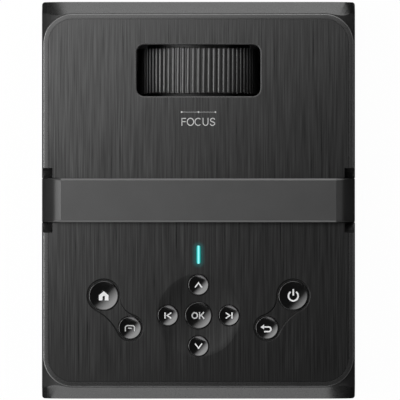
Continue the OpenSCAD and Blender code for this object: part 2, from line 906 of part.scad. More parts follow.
// Radius of the round nose of a jack
function nose_r(s) = min(s[1], s[2]) / 2 - nose_step;

module lens_bezel() {
    color("#4a4a4a") difference() {
        union() {
            lens_cylinder(bezel_r, body_d / 2 - bezel_t, body_d / 2);
            lens_cylinder(bezel_collar_r, inner_d / 2, body_d / 2 - bezel_t / 2);
        }
        lens_cylinder(bezel_in_r, inner_d / 2 - cut, body_d / 2 + cut);
    }
}

// Slotted grille on the inside of the right wall, in front of a fan
module fan_grille() {
    w = fan_w;
    pitch = (vent_w - 2 * vent_frame - vent_slot_h) / (vent_slots - 1);
    difference() {
        box([side_face_x, fan_y - w / 2, side_axis_z - w / 2],
            [inner_w / 2, fan_y + w / 2, side_axis_z + w / 2]);
        for (i = [0 : vent_slots - 1])
            translate([side_face_x - cut, fan_y - vent_w / 2 + vent_frame,
                    side_axis_z - vent_w / 2 + vent_frame + i * pitch])
                cube([grille_t + 2 * cut, vent_w - 2 * vent_frame, vent_slot_h]);
    }
}

module right_fan_grille() {
    color("#1f1f1f") fan_grille();
}

module left_fan_grille() {
    color("#1f1f1f") mirror([1, 0, 0]) fan_grille();
}

// Perforated grille on the inside of the right wall, in front of a speaker
module speaker_grille() {
    w = 2 * speaker_r;
    pitch = (speaker_hole_w - 2 * speaker_frame - 2 * hole_r) / (hole_rows - 1);
    start = -(hole_rows - 1) / 2 * pitch;
    difference() {
        box([side_face_x, speaker_y - w / 2, side_axis_z - w / 2],
            [inner_w / 2, speaker_y + w / 2, side_axis_z + w / 2]);
        for (i = [0 : hole_rows - 1], j = [0 : hole_rows - 1])
            translate([side_face_x - cut, speaker_y + start + i * pitch, side_axis_z + start + j * pitch])
                rotate([0, 90, 0])
                    cylinder(r = hole_r, h = grille_t + 2 * cut);
    }
}

module right_speaker_grille() {
    color("#1f1f1f") speaker_grille();
}

module left_speaker_grille() {
    color("#1f1f1f") mirror([1, 0, 0]) speaker_grille();
}

module rubber_feet() {
    color("#151515") at_corners(body_w / 2 - foot_inset_x, body_d / 2 - foot_inset_y)
        cylinder(r = foot_r, h = foot_h + foot_pocket);
}

module tripod_insert() {
    color("#b5913e") translate([0, insert_y, base_z])
        difference() {
            cylinder(r = insert_r, h = tripod_depth + insert_wall);
            translate([0, 0, -cut])
                cylinder(r = tripod_r, h = tripod_depth + cut);
        }
}

module case_screws() {
    color("#8a8a8a") at_corners(body_w / 2 - screw_inset_x, body_d / 2 - screw_inset_y)
        difference() {
            union() {
                translate([0, 0, head_seat_z - screw_head_t])
                    cylinder(r = screw_head_r, h = screw_head_t);
                translate([0, 0, head_seat_z - edge_flat])
                    cylinder(r = screw_core_r, h = shank_l + edge_flat);
            }
            for (a = [0, 90])
                translate([0, 0, head_seat_z - screw_head_t])
                    rotate(a)
                        cube([screw_head_r, screw_core_r / 2, screw_core_r], center = true);
        }
}

// Outer and inner point of the handle's profile at step i of the right-hand bend
function bend_pair(i) =
    let (f = 1 - i / bend_steps, outer = f * outer_start, inner = f * inner_start)
    [[bend_x + handle_r * cos(outer), bend_z + handle_r * sin(outer)],
        [bend_x + inner_bend_r * cos(inner), bend_z + inner_bend_r * sin(inner)]];

// Profile from the bottom of the left leg, over the band, to the bottom of the right leg
right_half = concat([for (i = [0 : bend_steps]) bend_pair(i)],
    [[[handle_x, leg_bottom_z], [handle_x - handle_t, leg_bottom_z]]]);
half_count = len(right_half);
handle_path = concat([for (i = [half_count - 1 : -1 : 0])
    [for (p = right_half[i]) [-p[0], p[1]]]], right_half);

// Six corners of the handle's section at one place of its profile
function handle_section(pair) =
    let (o = pair[0], n = pair[1], e = o + (n - o) * handle_chamfer / handle_t, y = handle_w / 2)
    [[o[0], -y + handle_chamfer, o[1]], [o[0], y - handle_chamfer, o[1]], [e[0], y, e[1]],
        [n[0], y, n[1]], [n[0], -y, n[1]], [e[0], -y, e[1]]];

// Band over the deck with a leg down each side, its outer edges chamfered
module handle() {
    s = 6;
    last = len(handle_path) - 1;
    points = [for (pair = handle_path) for (p = handle_section(pair)) p];
    sides = [for (i = [0 : last - 1], j = [0 : s - 1])
        let (a = i * s + j, b = i * s + (j + 1) % s)
        for (t = [[a, b, b + s], [a, b + s, a + s]]) t];
    start = [for (j = [1 : s - 2]) [0, j + 1, j]];
    end = [for (j = [1 : s - 2]) [last * s, last * s + j, last * s + j + 1]];
    color("#4f4f4f") polyhedron(points, concat(sides, start, end));
}

// Plate and neck behind each leg, which stop the handle at the top of its slot
module handle_sliders() {
    z0 = leg_bottom_z + neck_up;
    color("#3a3a3a") both_sides() {
        box([channel_in_x - run_gap - edge_flat, -neck_half, z0],
            [handle_x - handle_t, neck_half, z0 + neck_h]);
        box([channel_in_x - run_gap - slider_t, -slider_half, z0],
            [channel_in_x - run_gap, slider_half, z0 + neck_h]);
    }
}

module dpad_dish() {
    color("#333333") difference() {
        translate([0, dish_y, dish_floor_z])
            cylinder(r = dish_r, h = panel_face_z - dish_floor_z);
        translate([0, dish_y, panel_face_z - dish_depth + dish_sphere_r])
            sphere(dish_sphere_r, $fn = sphere_fn);
        key_holes(DISH_KEYS);
    }
}

// Key with a hollow cap, a flange that keeps it under the deck, and a stem
module push_key(k) {
    flange_z = deck_under_z - run_gap - flange_t;
    top = k[3] + key_rise;
    hollow_r = (k[2] * k[2] + key_hollow * key_hollow) / (2 * key_hollow);
    color("#141414") translate([k[0], k[1], 0])
        difference() {
            union() {
                translate([0, 0, flange_z])
                    cylinder(r = k[2], h = top - flange_z);
                translate([0, 0, flange_z])
                    cylinder(r = k[2] + flange_w, h = flange_t);
                translate([0, 0, stem_end_z])
                    cylinder(r = stem_r, h = flange_z - stem_end_z + flange_t / 2);
            }
            translate([0, 0, top - key_hollow + hollow_r])
                sphere(hollow_r, $fn = sphere_fn);
        }
}

module key_ok() {
    push_key(KEY_OK);
}

module key_up() {
    push_key(KEY_UP);
}

module key_down() {
    push_key(KEY_DOWN);
}

module key_previous() {
    push_key(KEY_PREVIOUS);
}

module key_next() {
    push_key(KEY_NEXT);
}

module key_home() {
    push_key(KEY_HOME);
}

module key_menu() {
    push_key(KEY_MENU);
}

module key_power() {
    push_key(KEY_POWER);
}

module key_back() {
    push_key(KEY_BACK);
}

module key_board() {
    color("#1f4f2f")
        box([-key_board_half_w, key_board_rear_y, key_board_top_z - board_t],
            [key_board_half_w, key_board_front_y, key_board_top_z]);
}

module key_switches() {
    color("#5a5a5a") for (k = ALL_KEYS)
        translate([k[0], k[1], key_board_top_z]) {
            translate([0, 0, switch_h / 2])
                cube([switch_w, switch_w, switch_h], center = true);
            cylinder(r = plunger_r, h = switch_h + plunger_h);
        }
}

module status_light() {
    color("#2fd6d2") light_bar(0, key_board_top_z, panel_face_z - key_board_top_z);
}

// Ribbed outline of the focus ring: a raised rib and a valley at each step
module ribbed_outline(r, ribs, h) {
    step = 360 / ribs;
    heights = [r - h, r, r, r - h];
    polygon([for (i = [0 : ribs - 1], j = [0 : len(heights) - 1])
        let (a = (i + rib_shares[j]) * step)
        heights[j] * [cos(a), sin(a)]]);
}

module focus_ring() {
    color("#262626") difference() {
        translate([0, ring_front_y, axis_z])
            rotate([90, 0, 0])
                linear_extrude(ring_l)
                    ribbed_outline(ring_r, ring_ribs, rib_h);
        lens_cylinder(ring_bore_r, ring_rear_y - cut, ring_front_y + cut);
        for (a = pin_angles)
            cam_groove(a);
    }
}

// Four corners of a helical groove's section where the ring has turned by t
function cam_section(a, t) =
    let (c = cos(a - t), s = sin(a - t), y = ring_y + cam_rise * t)
    [for (p = [[ring_bore_r - cut, -cam_half_w], [cam_r, -cam_half_w], [cam_r, cam_half_w],
            [ring_bore_r - cut, cam_half_w]])
        [p[0] * c, y + p[1], axis_z - p[0] * s]];

// Helical groove in the ring's bore for the drive pin at angle a
module cam_groove(a) {
    s = 4;
    points = [for (i = [0 : cam_steps]) for (p = cam_section(a, cam_end * (2 * i / cam_steps - 1))) p];
    sides = [for (i = [0 : cam_steps - 1], j = [0 : s - 1])
        let (p = i * s + j, q = i * s + (j + 1) % s)
        for (t = [[p, q + s, q], [p, p + s, q + s]]) t];
    last = cam_steps * s;
    ends = [[0, 1, 2], [0, 2, 3], [last, last + 2, last + 1], [last, last + 3, last + 2]];
    polyhedron(points, concat(sides, ends));
}

// Fixed tube: flange on the tunnel, stop behind the ring, slots for the drive pins
module lens_tube() {
    slot_half = focus_travel + pin_r + run_gap;
    color("#3c3c3c") difference() {
        union() {
            lens_cylinder(tube_r, tunnel_front_y, tube_front_y);
            lens_cylinder(tube_flange_r, tunnel_front_y, tunnel_front_y + tube_flange_t);
            lens_cylinder(stop_r, ring_rear_y - run_gap - stop_l, ring_rear_y - run_gap);
        }
        lens_cylinder(tube_in_r, tunnel_front_y - cut, tube_front_y + cut);
        for (a = pin_angles)
            translate([0, ring_y, axis_z])
                rotate([0, a, 0])
                    box([tube_in_r - cut, -slot_half, -pin_r - run_gap],
                        [tube_r + cut, slot_half, pin_r + run_gap]);
    }
}

module ring_clip() {
    y0 = ring_front_y + run_gap;
    color("#9a9a9a") difference() {
        lens_cylinder(stop_r, y0, y0 + clip_l);
        lens_cylinder(tube_r + turn_gap / 2, y0 - cut, y0 + clip_l + cut);
    }
}

// Sliding barrel with a seat at each end and three holes for the drive pins
module lens_barrel() {
    color("#303030") difference() {
        lens_cylinder(barrel_r, barrel_rear_y, barrel_front_y);
        lens_cylinder(stop_bore_r, barrel_rear_y - cut, barrel_front_y + cut);
        lens_cylinder(front_seat_r, barrel_front_y - front_seat_l, barrel_front_y + cut);
        lens_cylinder(rear_seat_r, barrel_rear_y - cut, barrel_rear_y + rear_seat_l);
        for (a = pin_angles)
            drive_pin(a, pin_r + turn_gap / 2, barrel_r + cut);
    }
}

// Pin that stands out of the barrel at one angle
module drive_pin(a, r, out) {
    translate([0, ring_y, axis_z])
        rotate([0, a, 0])
            rotate([0, 90, 0])
                translate([0, 0, pin_in_r])
                    cylinder(r = r, h = out - pin_in_r);
}

module drive_pins() {
    color("#a8a8a8") for (a = pin_angles)
        drive_pin(a, pin_r, pin_out_r);
}

// Lens between y0 and y1, bulging to the front and, if rear_r isn't 0, to the rear
module lens(r, y0, y1, front_r, rear_r) {
    intersection() {
        lens_cylinder(r, y0, y1);
        translate([0, y1 - front_r, axis_z])
            sphere(front_r, $fn = sphere_fn);
        if (rear_r > 0)
            translate([0, y0 + rear_r, axis_z])
                sphere(rear_r, $fn = sphere_fn);
    }
}

module front_lens() {
    y0 = barrel_front_y - front_seat_l;
    color("#9fb6c4") lens(front_seat_r - fit_gap, y0, y0 + front_lens_t, lens_strong_r, lens_weak_r);
}

module rear_lens() {
    y1 = barrel_rear_y + rear_seat_l;
    color("#9fb6c4") lens(rear_seat_r - fit_gap, y1 - rear_lens_t, y1, lens_weak_r, lens_strong_r);
}

// Ring that holds the front lens on its seat
module lens_retainer() {
    y0 = barrel_front_y - front_seat_l + front_lens_t;
    color("#2a2a2a") difference() {
        lens_cylinder(front_seat_r - fit_gap, y0, y0 + retainer_t);
        lens_cylinder(stop_bore_r, y0 - cut, y0 + retainer_t + cut);
    }
}

// Light tunnel on four feet, with end walls that hold the lens tube and the lamp
module engine_housing() {
    w = tunnel_w + 2 * tunnel_wall;
    h = tunnel_h + 2 * tunnel_wall;
    color("#1d1d1d") difference() {
        union() {
            upright_plate(w, h, plate_corner_r, tunnel_rear_y, tunnel_l);
            for (x = [-1, 1], y = [tunnel_rear_y + tunnel_foot_in, tunnel_front_y - tunnel_foot_in])
                translate([x * (w / 2 - tunnel_foot_r), y, floor_z])
                    cylinder(r = tunnel_foot_r, h = axis_z - h / 2 - floor_z + edge_flat);
        }
        upright_plate(tunnel_w, tunnel_h, plate_corner_r, tunnel_rear_y + tunnel_wall,
            tunnel_l - 2 * tunnel_wall);
        lens_cylinder(stop_bore_r, tunnel_front_y - tunnel_wall - cut, tunnel_front_y + cut);
        lens_cylinder(lamp_hole_r, tunnel_rear_y - cut, tunnel_rear_y + tunnel_wall + cut);
    }
}

// Plate that fits inside the light tunnel
module tunnel_plate(y, t) {
    upright_plate(tunnel_w - 2 * fit_gap, tunnel_h - 2 * fit_gap, plate_corner_r, y, t);
}

module front_fresnel() {
    color("#c9d4da") tunnel_plate(front_fresnel_y, fresnel_t);
}

module lcd_panel() {
    color("#20262e") tunnel_plate(lcd_y, lcd_t);
}

module rear_fresnel() {
    color("#c9d4da") tunnel_plate(rear_fresnel_y, fresnel_t);
}

// Condenser on its own carrier plate
module condenser_lens() {
    color("#b9c9d2") {
        lens(condenser_r, condenser_y, condenser_y + condenser_t, condenser_face_r, 0);
        tunnel_plate(condenser_y - fresnel_t, fresnel_t);
    }
}

module led_module() {
    color("#c8b66a") {
        upright_plate(led_w, led_h, plate_corner_r, tunnel_rear_y - led_t, led_t);
        upright_plate(led_chip_w, led_chip_w, plate_corner_r, tunnel_rear_y - edge_flat,
            led_chip_t + edge_flat);
    }
}

// Base plate with level fins, swept by the air from side to side
module heat_sink() {
    pitch = (sink_h - fin_t) / (sink_fins - 1);
    color("#b4b4b4") {
        upright_plate(sink_w, sink_h, plate_corner_r, sink_front_y - sink_base_t, sink_base_t);
        for (i = [0 : sink_fins - 1])
            translate([-sink_w / 2, sink_front_y - sink_base_t - sink_depth, axis_z - sink_h / 2 + i * pitch])
                cube([sink_w, sink_depth + edge_flat, fin_t]);
    }
}

// Stand a fan or speaker, drawn along +Z, in the right wall with its face outward
module face_right(y, t) {
    translate([side_face_x - t, y, side_axis_z])
        rotate([0, 90, 0])
            children();
}

// Square frame with three struts that carry the bearing
module fan_frame() {
    color("#181818") difference() {
        union() {
            difference() {
                rounded_plate(fan_w, fan_w, fan_corner_r, fan_t);
                translate([0, 0, -cut])
                    cylinder(r = fan_bore_r, h = fan_t + 2 * cut);
            }
            cylinder(r = spider_r, h = spider_t);
            for (a = strut_angles)
                rotate(a)
                    translate([0, -strut_w / 2, 0])
                        cube([fan_bore_r + strut_lap, strut_w, spider_t]);
            cylinder(r = bearing_r, h = bearing_h);
        }
        translate([0, 0, -cut])
            cylinder(r = shaft_r + shaft_gap, h = bearing_h + 2 * cut);
    }
}

// Hub cup with pitched blades and the shaft that runs in the bearing
module fan_rotor() {
    hub_top = fan_t - hub_top_gap;
    blade_l = fan_bore_r - blade_gap - hub_r + hub_wall / 2;
    color("#202020") {
        difference() {
            translate([0, 0, hub_low])
                cylinder(r = hub_r, h = hub_top - hub_low);
            translate([0, 0, hub_low - cut])
                cylinder(r = hub_r - hub_wall, h = hub_top - hub_top_t - hub_low + cut);
        }
        translate([0, 0, shaft_low])
            cylinder(r = shaft_r, h = hub_top - shaft_low - hub_top_t / 2);
        intersection() {
            for (i = [0 : fan_blades - 1])
                rotate(i * 360 / fan_blades)
                    translate([hub_r - hub_wall / 2, 0, (hub_low + hub_top) / 2])
                        rotate([blade_pitch, 0, 0])
                            translate([0, -blade_chord / 2, -blade_t / 2])
                                cube([blade_l + blade_t, blade_chord, blade_t]);
            cylinder(r = fan_bore_r - blade_gap, h = fan_t);
        }
    }
}

// Wound stator on the bearing
module fan_motor() {
    color("#8c5a2b") translate([0, 0, spider_t])
        difference() {
            cylinder(r = stator_r, h = stator_h);
            translate([0, 0, -cut])
                cylinder(r = bearing_r + fit_gap, h = stator_h + 2 * cut);
        }
}

module right_fan_frame() {
    face_right(fan_y, fan_t) fan_frame();
}

module right_fan_rotor() {
    face_right(fan_y, fan_t) fan_rotor();
}

module right_fan_motor() {
    face_right(fan_y, fan_t) fan_motor();
}

module left_fan_frame() {
    mirror([1, 0, 0]) face_right(fan_y, fan_t) fan_frame();
}

module left_fan_rotor() {
    mirror([1, 0, 0]) face_right(fan_y, fan_t) fan_rotor();
}

module left_fan_motor() {
    mirror([1, 0, 0]) face_right(fan_y, fan_t) fan_motor();
}

// Speaker: rim, tapering basket with its cone, and magnet
module speaker() {
    rim_z = speaker_t - speaker_rim_t;
    color("#2a2a2a") rotate_extrude()
        polygon([[0, 0], [magnet_r, 0], [magnet_r, magnet_t], [basket_r, magnet_t],
            [speaker_r - basket_wall, rim_z], [speaker_r, rim_z], [speaker_r, speaker_t],
            [speaker_r - 2 * basket_wall, speaker_t],
            [magnet_r / 2, speaker_t - cone_depth], [0, speaker_t - cone_depth + basket_wall]]);
}

module right_speaker() {
    face_right(speaker_y, speaker_t) speaker();
}

module left_speaker() {
    mirror([1, 0, 0]) face_right(speaker_y, speaker_t) speaker();
}

module main_board() {
    color("#1f4f2f")
        box([-board_w / 2, board_rear_y, board_z], [board_w / 2, board_rear_y + board_d, board_top_z]);
}

// Open metal shell of a flat socket with the tongue inside
module flat_socket(s, shell) {
    y0 = -body_d / 2 + rear_set_back;
    translate([s[0], y0, board_top_z]) {
        difference() {
            translate([-s[1] / 2, 0, 0])
                cube([s[1], s[3], s[2]]);
            translate([-s[1] / 2 + shell, -cut, shell])
                cube([s[1] - 2 * shell, s[3] - 2 * shell + cut, s[2] - 2 * shell]);
        }
        translate([-s[1] / 2 + 2 * shell, shell, s[2] / 2 - shell])
            cube([s[1] - 4 * shell, s[3] - 2 * shell, 2 * shell]);
    }
}

module hdmi_socket() {
    color("#b9b9b9") flat_socket(HDMI, hdmi_shell);
}

module usb_socket() {
    color("#b9b9b9") flat_socket(USB, usb_shell);
}

// Block on the board with a round nose through the rear panel
module round_jack(s, bore_r, bore_l) {
    nose_l = rear_in_y + socket_gap - rear_out_y;
    translate([s[0], rear_out_y, board_top_z])
        difference() {
            union() {
                translate([-s[1] / 2, nose_l, 0])
                    cube([s[1], s[3] - nose_l, s[2]]);
                translate([0, nose_l + edge_flat, s[2] / 2])
                    rotate([90, 0, 0])
                        cylinder(r = nose_r(s), h = nose_l + edge_flat);
            }
            translate([0, bore_l, s[2] / 2])
                rotate([90, 0, 0])
                    cylinder(r = bore_r, h = bore_l + cut);
        }
}

module av_jack() {
    color("#202020") round_jack(AV_JACK, av_bore_r, av_bore_l);
}

// Barrel jack with its centre pin
module power_jack() {
    color("#202020") {
        round_jack(POWER_JACK, power_bore_r, power_bore_l);
        translate([POWER_JACK[0], rear_out_y + power_bore_l + edge_flat, board_top_z + POWER_JACK[2] / 2])
            rotate([90, 0, 0])
                cylinder(r = power_pin_r, h = power_pin_l);
    }
}

module ir_receiver() {
    color("#111111") translate([IR[0] - IR[1] / 2, board_rear_y + fit_gap, board_top_z])
        cube([IR[1], IR[3], IR[2]]);
}

module ir_window() {
    color("#2a0f14") translate([IR[0], rear_in_y, ir_z])
        rotate([90, 0, 0])
            rounded_plate(ir_window_w, ir_window_h, ir_corner_r, rear_in_y - rear_out_y);
}

base_shell();
top_housing();
top_panel();
rear_panel();
lens_bezel();
left_fan_grille();
right_fan_grille();
left_speaker_grille();
right_speaker_grille();
rubber_feet();
tripod_insert();
case_screws();
handle();
handle_sliders();
dpad_dish();
key_ok();
key_up();
key_down();
key_previous();
key_next();
key_home();
key_menu();
key_power();
key_back();
key_board();
key_switches();
status_light();
focus_ring();
lens_tube();
ring_clip();
lens_barrel();
drive_pins();
front_lens();
rear_lens();
lens_retainer();
engine_housing();
condenser_lens();
rear_fresnel();
lcd_panel();
front_fresnel();
led_module();
heat_sink();
left_fan_frame();
left_fan_rotor();
left_fan_motor();
right_fan_frame();
right_fan_rotor();
right_fan_motor();
left_speaker();
right_speaker();
main_board();
hdmi_socket();
usb_socket();
av_jack();
power_jack();
ir_receiver();
ir_window();
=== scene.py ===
"""Compact video projector, dressed for a straight-down studio view."""
import json
import math

import bmesh
import bpy
import numpy as np
from mathutils import Matrix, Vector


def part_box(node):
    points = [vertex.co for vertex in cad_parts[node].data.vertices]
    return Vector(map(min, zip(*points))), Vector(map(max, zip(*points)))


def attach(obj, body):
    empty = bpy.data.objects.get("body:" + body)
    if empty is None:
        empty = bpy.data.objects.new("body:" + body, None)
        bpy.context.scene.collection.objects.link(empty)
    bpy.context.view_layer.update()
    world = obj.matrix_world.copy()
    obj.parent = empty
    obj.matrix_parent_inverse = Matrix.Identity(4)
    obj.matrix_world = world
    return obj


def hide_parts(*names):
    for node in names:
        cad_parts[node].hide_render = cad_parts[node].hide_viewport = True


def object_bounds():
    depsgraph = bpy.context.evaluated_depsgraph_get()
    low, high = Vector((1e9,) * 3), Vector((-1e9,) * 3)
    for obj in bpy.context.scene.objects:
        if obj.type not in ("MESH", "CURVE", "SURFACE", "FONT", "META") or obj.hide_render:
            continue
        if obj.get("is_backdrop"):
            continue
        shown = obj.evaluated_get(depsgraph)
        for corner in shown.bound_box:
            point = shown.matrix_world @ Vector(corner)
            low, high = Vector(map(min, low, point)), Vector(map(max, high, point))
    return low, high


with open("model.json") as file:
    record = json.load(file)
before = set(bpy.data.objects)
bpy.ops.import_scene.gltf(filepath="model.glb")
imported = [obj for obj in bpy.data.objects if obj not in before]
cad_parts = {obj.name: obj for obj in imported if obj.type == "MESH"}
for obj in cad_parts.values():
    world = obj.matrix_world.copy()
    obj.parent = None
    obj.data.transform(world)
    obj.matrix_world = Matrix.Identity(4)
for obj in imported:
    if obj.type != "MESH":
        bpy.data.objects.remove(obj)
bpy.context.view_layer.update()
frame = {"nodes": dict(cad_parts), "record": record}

MM = 0.001
NODES = frame["nodes"]
BODY_OF = {n: b for b, members in frame["record"]["behaviour"]["bodies"].items() for n in members}


# Colour and material helpers

def linear(hex_colour, alpha=1.0):
    """sRGB hex colour as linear red, green, blue and alpha."""
    c = np.array([int(hex_colour[i:i + 2], 16) for i in (1, 3, 5)]) / 255
    c = np.where(c <= 0.04045, c / 12.92, ((c + 0.055) / 1.055) ** 2.4)
    return (*c.tolist(), alpha)


def put(tree, kind, settings=None, inputs=None):
    """Add one node: settings are its properties, or the (position, hex colour) points of its ramp; inputs are
    constants or (node, output) links."""
    made = tree.nodes.new(kind)
    for key, value in (settings or {}).items():
        if key == "points":
            while len(made.color_ramp.elements) < len(value):
                made.color_ramp.elements.new(0.5)
            for element, (position, colour) in zip(made.color_ramp.elements, value):
                element.position, element.color = position, linear(colour)
        else:
            setattr(made, key, value)
    for key, value in (inputs or {}).items():
        if isinstance(value, tuple) and len(value) == 2 and isinstance(value[0], bpy.types.Node):
            tree.links.new(value[0].outputs[value[1]], made.inputs[key])
        else:
            made.inputs[key].default_value = value
    return made


def new_material(name):
    """Empty node material with its tree, shader and Object coordinates."""
    material = bpy.data.materials.new(name)
    material.use_nodes = True
    tree = material.node_tree
    shader = tree.nodes["Principled BSDF"]
    where = put(tree, "ShaderNodeTexCoord")
    return material, tree, shader, where


# width of the clouds of tone in millimetres, and the grain's reach in roughness
CLOUD_MM, GRAIN_MATT = 14, 0.06


def moulded(name, colour, darker, roughness, grain_mm, depth_mm, specular=0.5, metallic=0.0, ior=1.5):
    """Moulded plastic, rubber or cast metal: cloudy tone between two colours, and a fine grain in
    roughness and height. grain_mm is the grain's width, depth_mm its height."""
    material, tree, shader, where = new_material(name)
    cloud = put(tree, "ShaderNodeTexNoise", None,
                {"Vector": (where, "Object"), "Scale": 1 / (CLOUD_MM * MM), "Detail": 3.0})
    tone = put(tree, "ShaderNodeValToRGB", {"points": [(0.35, darker), (0.65, colour)]}, {"Fac": (cloud, "Fac")})
    grain = put(tree, "ShaderNodeTexNoise", None,
                {"Vector": (where, "Object"), "Scale": 1 / (grain_mm * MM), "Detail": 2.0})
    matt = put(tree, "ShaderNodeMapRange", None, {
        "Value": (grain, "Fac"), "From Min": 0.3, "From Max": 0.7,
        "To Min": roughness - GRAIN_MATT, "To Max": roughness + GRAIN_MATT})
    bump = put(tree, "ShaderNodeBump", None,
               {"Height": (grain, "Fac"), "Strength": 0.5, "Distance": depth_mm * MM})
    tree.links.new(tone.outputs["Color"], shader.inputs["Base Color"])
    tree.links.new(matt.outputs["Result"], shader.inputs["Roughness"])
    tree.links.new(bump.outputs["Normal"], shader.inputs["Normal"])
    shader.inputs["Specular IOR Level"].default_value = specular
    shader.inputs["Metallic"].default_value = metallic
    shader.inputs["IOR"].default_value = ior
    return material


# width and length of the brushed sheet's hairlines and of the finer ones between them, in millimetres; the finest
# real lines are too fine for a pixel, so they are drawn wider
WIDE_LINE, FINE_LINE, FINE_SHARE, LINE_MATT = (0.7, 30), (0.45, 45), 0.45, 0.03
# distances from the status lamp at which its glow, painted on the sheet as emission, starts to fade and ends, in
# millimetres, and its strength
PAINTED_GLOW_FROM, PAINTED_GLOW_TO, PAINTED_GLOW_STRENGTH = 1.0, 4.0, 0.09


def hairline(name, dark, light, roughness, specular, contrast, glow=None):
    """Brushed sheet: hairlines along Y as stretched noise, with finer ones between, in tone, roughness, gloss and
    height. glow is the middle, half length and colour of the status lamp, whose light on the sheet round it is
    painted as emission."""
    material, tree, shader, where = new_material(name)
    wide = put(tree, "ShaderNodeMapping", {"vector_type": "POINT"},
               {"Vector": (where, "Object"), "Scale": (*(1 / (size * MM) for size in WIDE_LINE), 0.0)})
    fine = put(tree, "ShaderNodeMapping", {"vector_type": "POINT"},
               {"Vector": (where, "Object"), "Scale": (*(1 / (size * MM) for size in FINE_LINE), 0.0)})
    wide_noise = put(tree, "ShaderNodeTexNoise", None,
                     {"Vector": (wide, "Vector"), "Scale": 1.0, "Detail": 2.0, "Roughness": 0.6})
    fine_noise = put(tree, "ShaderNodeTexNoise", None,
                     {"Vector": (fine, "Vector"), "Scale": 1.0, "Detail": 1.0})
    lines = put(tree, "ShaderNodeMix", {"data_type": "FLOAT"},
                {"Factor": FINE_SHARE, "A": (wide_noise, "Fac"), "B": (fine_noise, "Fac")})
    tone = put(tree, "ShaderNodeValToRGB", {"points": [(0.3, dark), (0.7, light)]}, {"Fac": (lines, "Result")})
    matt = put(tree, "ShaderNodeMapRange", None, {
        "Value": (lines, "Result"), "From Min": 0.3, "From Max": 0.7,
        "To Min": roughness - LINE_MATT, "To Max": roughness + LINE_MATT})
    shine = put(tree, "ShaderNodeMapRange", None, {
        "Value": (lines, "Result"), "From Min": 0.3, "From Max": 0.7,
        "To Min": specular * (1 - contrast), "To Max": specular * (1 + contrast)})
    bump = put(tree, "ShaderNodeBump", None,
               {"Height": (lines, "Result"), "Strength": 0.35, "Distance": 0.02 * MM})
    tree.links.new(tone.outputs["Color"], shader.inputs["Base Color"])
    tree.links.new(matt.outputs["Result"], shader.inputs["Roughness"])
    shader.inputs["Specular IOR Level"].default_value = specular
    tree.links.new(shine.outputs["Result"], shader.inputs["Specular IOR Level"])
    tree.links.new(bump.outputs["Normal"], shader.inputs["Normal"])
    if glow:
        middle, half, colour = glow
        local = put(tree, "ShaderNodeMapping", {"vector_type": "POINT"}, {
            "Vector": (where, "Object"), "Location": (-middle[0], -middle[1], -middle[2])})
        parts = put(tree, "ShaderNodeSeparateXYZ", None, {"Vector": (local, "Vector")})
        along = put(tree, "ShaderNodeMath", {"operation": "ABSOLUTE"}, {0: (parts, "Y")})
        past = put(tree, "ShaderNodeMath", {"operation": "SUBTRACT", "use_clamp": True},
                   {0: (along, "Value"), 1: half})
        off = put(tree, "ShaderNodeCombineXYZ", None, {"X": (parts, "X"), "Y": (past, "Value")})
        far = put(tree, "ShaderNodeVectorMath", {"operation": "LENGTH"}, {0: (off, "Vector")})
        painted_glow_node = put(tree, "ShaderNodeMapRange", {"interpolation_type": "SMOOTHERSTEP"}, {
            "Value": (far, "Value"), "From Min": PAINTED_GLOW_FROM * MM, "From Max": PAINTED_GLOW_TO * MM,
            "To Min": PAINTED_GLOW_STRENGTH, "To Max": 0.0})
        shader.inputs["Emission Color"].default_value = linear(colour)
        tree.links.new(painted_glow_node.outputs["Result"], shader.inputs["Emission Strength"])
    return material


# width of the wipe marks in millimetres, and their share of the roughness
WIPE_MM, WIPE_MATT = 3, 0.4


def polished(name, colour, roughness, specular=0.5, ior=1.5):
    """Polished plastic: deep plain colour, with faint wipe marks in the roughness."""
    material, tree, shader, where = new_material(name)
    marks = put(tree, "ShaderNodeTexNoise", None,
                {"Vector": (where, "Object"), "Scale": 1 / (WIPE_MM * MM), "Detail": 4.0})
    matt = put(tree, "ShaderNodeMapRange", None, {
        "Value": (marks, "Fac"), "To Min": roughness * (1 - WIPE_MATT), "To Max": roughness * (1 + WIPE_MATT)})
    tree.links.new(matt.outputs["Result"], shader.inputs["Roughness"])
    shader.inputs["Base Color"].default_value = linear(colour)
    shader.inputs["Specular IOR Level"].default_value = specular
    shader.inputs["IOR"].default_value = ior
    return material


TINT_MM = 20


def clear(name, colour, roughness, ior, coat=0.0):
    """Clear glass or acrylic, with a faint cloud of tint and a coating."""
    material, tree, shader, where = new_material(name)
    cloud = put(tree, "ShaderNodeTexNoise", None,
                {"Vector": (where, "Object"), "Scale": 1 / (TINT_MM * MM), "Detail": 1.0})
    tone = put(tree, "ShaderNodeValToRGB", {"points": [(0.3, colour), (0.7, "#ffffff")]}, {"Fac": (cloud, "Fac")})
    tree.links.new(tone.outputs["Color"], shader.inputs["Base Color"])
    shader.inputs["Roughness"].default_value = roughness
    shader.inputs["IOR"].default_value = ior
    shader.inputs["Transmission Weight"].default_value = 1.0
    shader.inputs["Coat Weight"].default_value = coat
    shader.inputs["Coat Tint"].default_value = linear("#9a7bd0")
    return material


# Materials, each named for what it is: a moulded one has its two colours, its roughness, and the width and height of
# its grain in millimetres

LIGHT_LOW, LIGHT_HIGH = (np.array(c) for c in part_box("status_light"))
LIGHT_MID = (LIGHT_LOW + LIGHT_HIGH) / 2
# part of the pipe's length that is its round end
LIGHT_END = 1.2 * MM
LIGHT_HALF = float(LIGHT_HIGH[1] - LIGHT_LOW[1]) / 2 - LIGHT_END
# painted glow: the status light's glow on the sheet round it is painted as emission in the sheet's material
PAINTED_GLOW = (LIGHT_MID.tolist(), LIGHT_HALF, "#19c8c8")

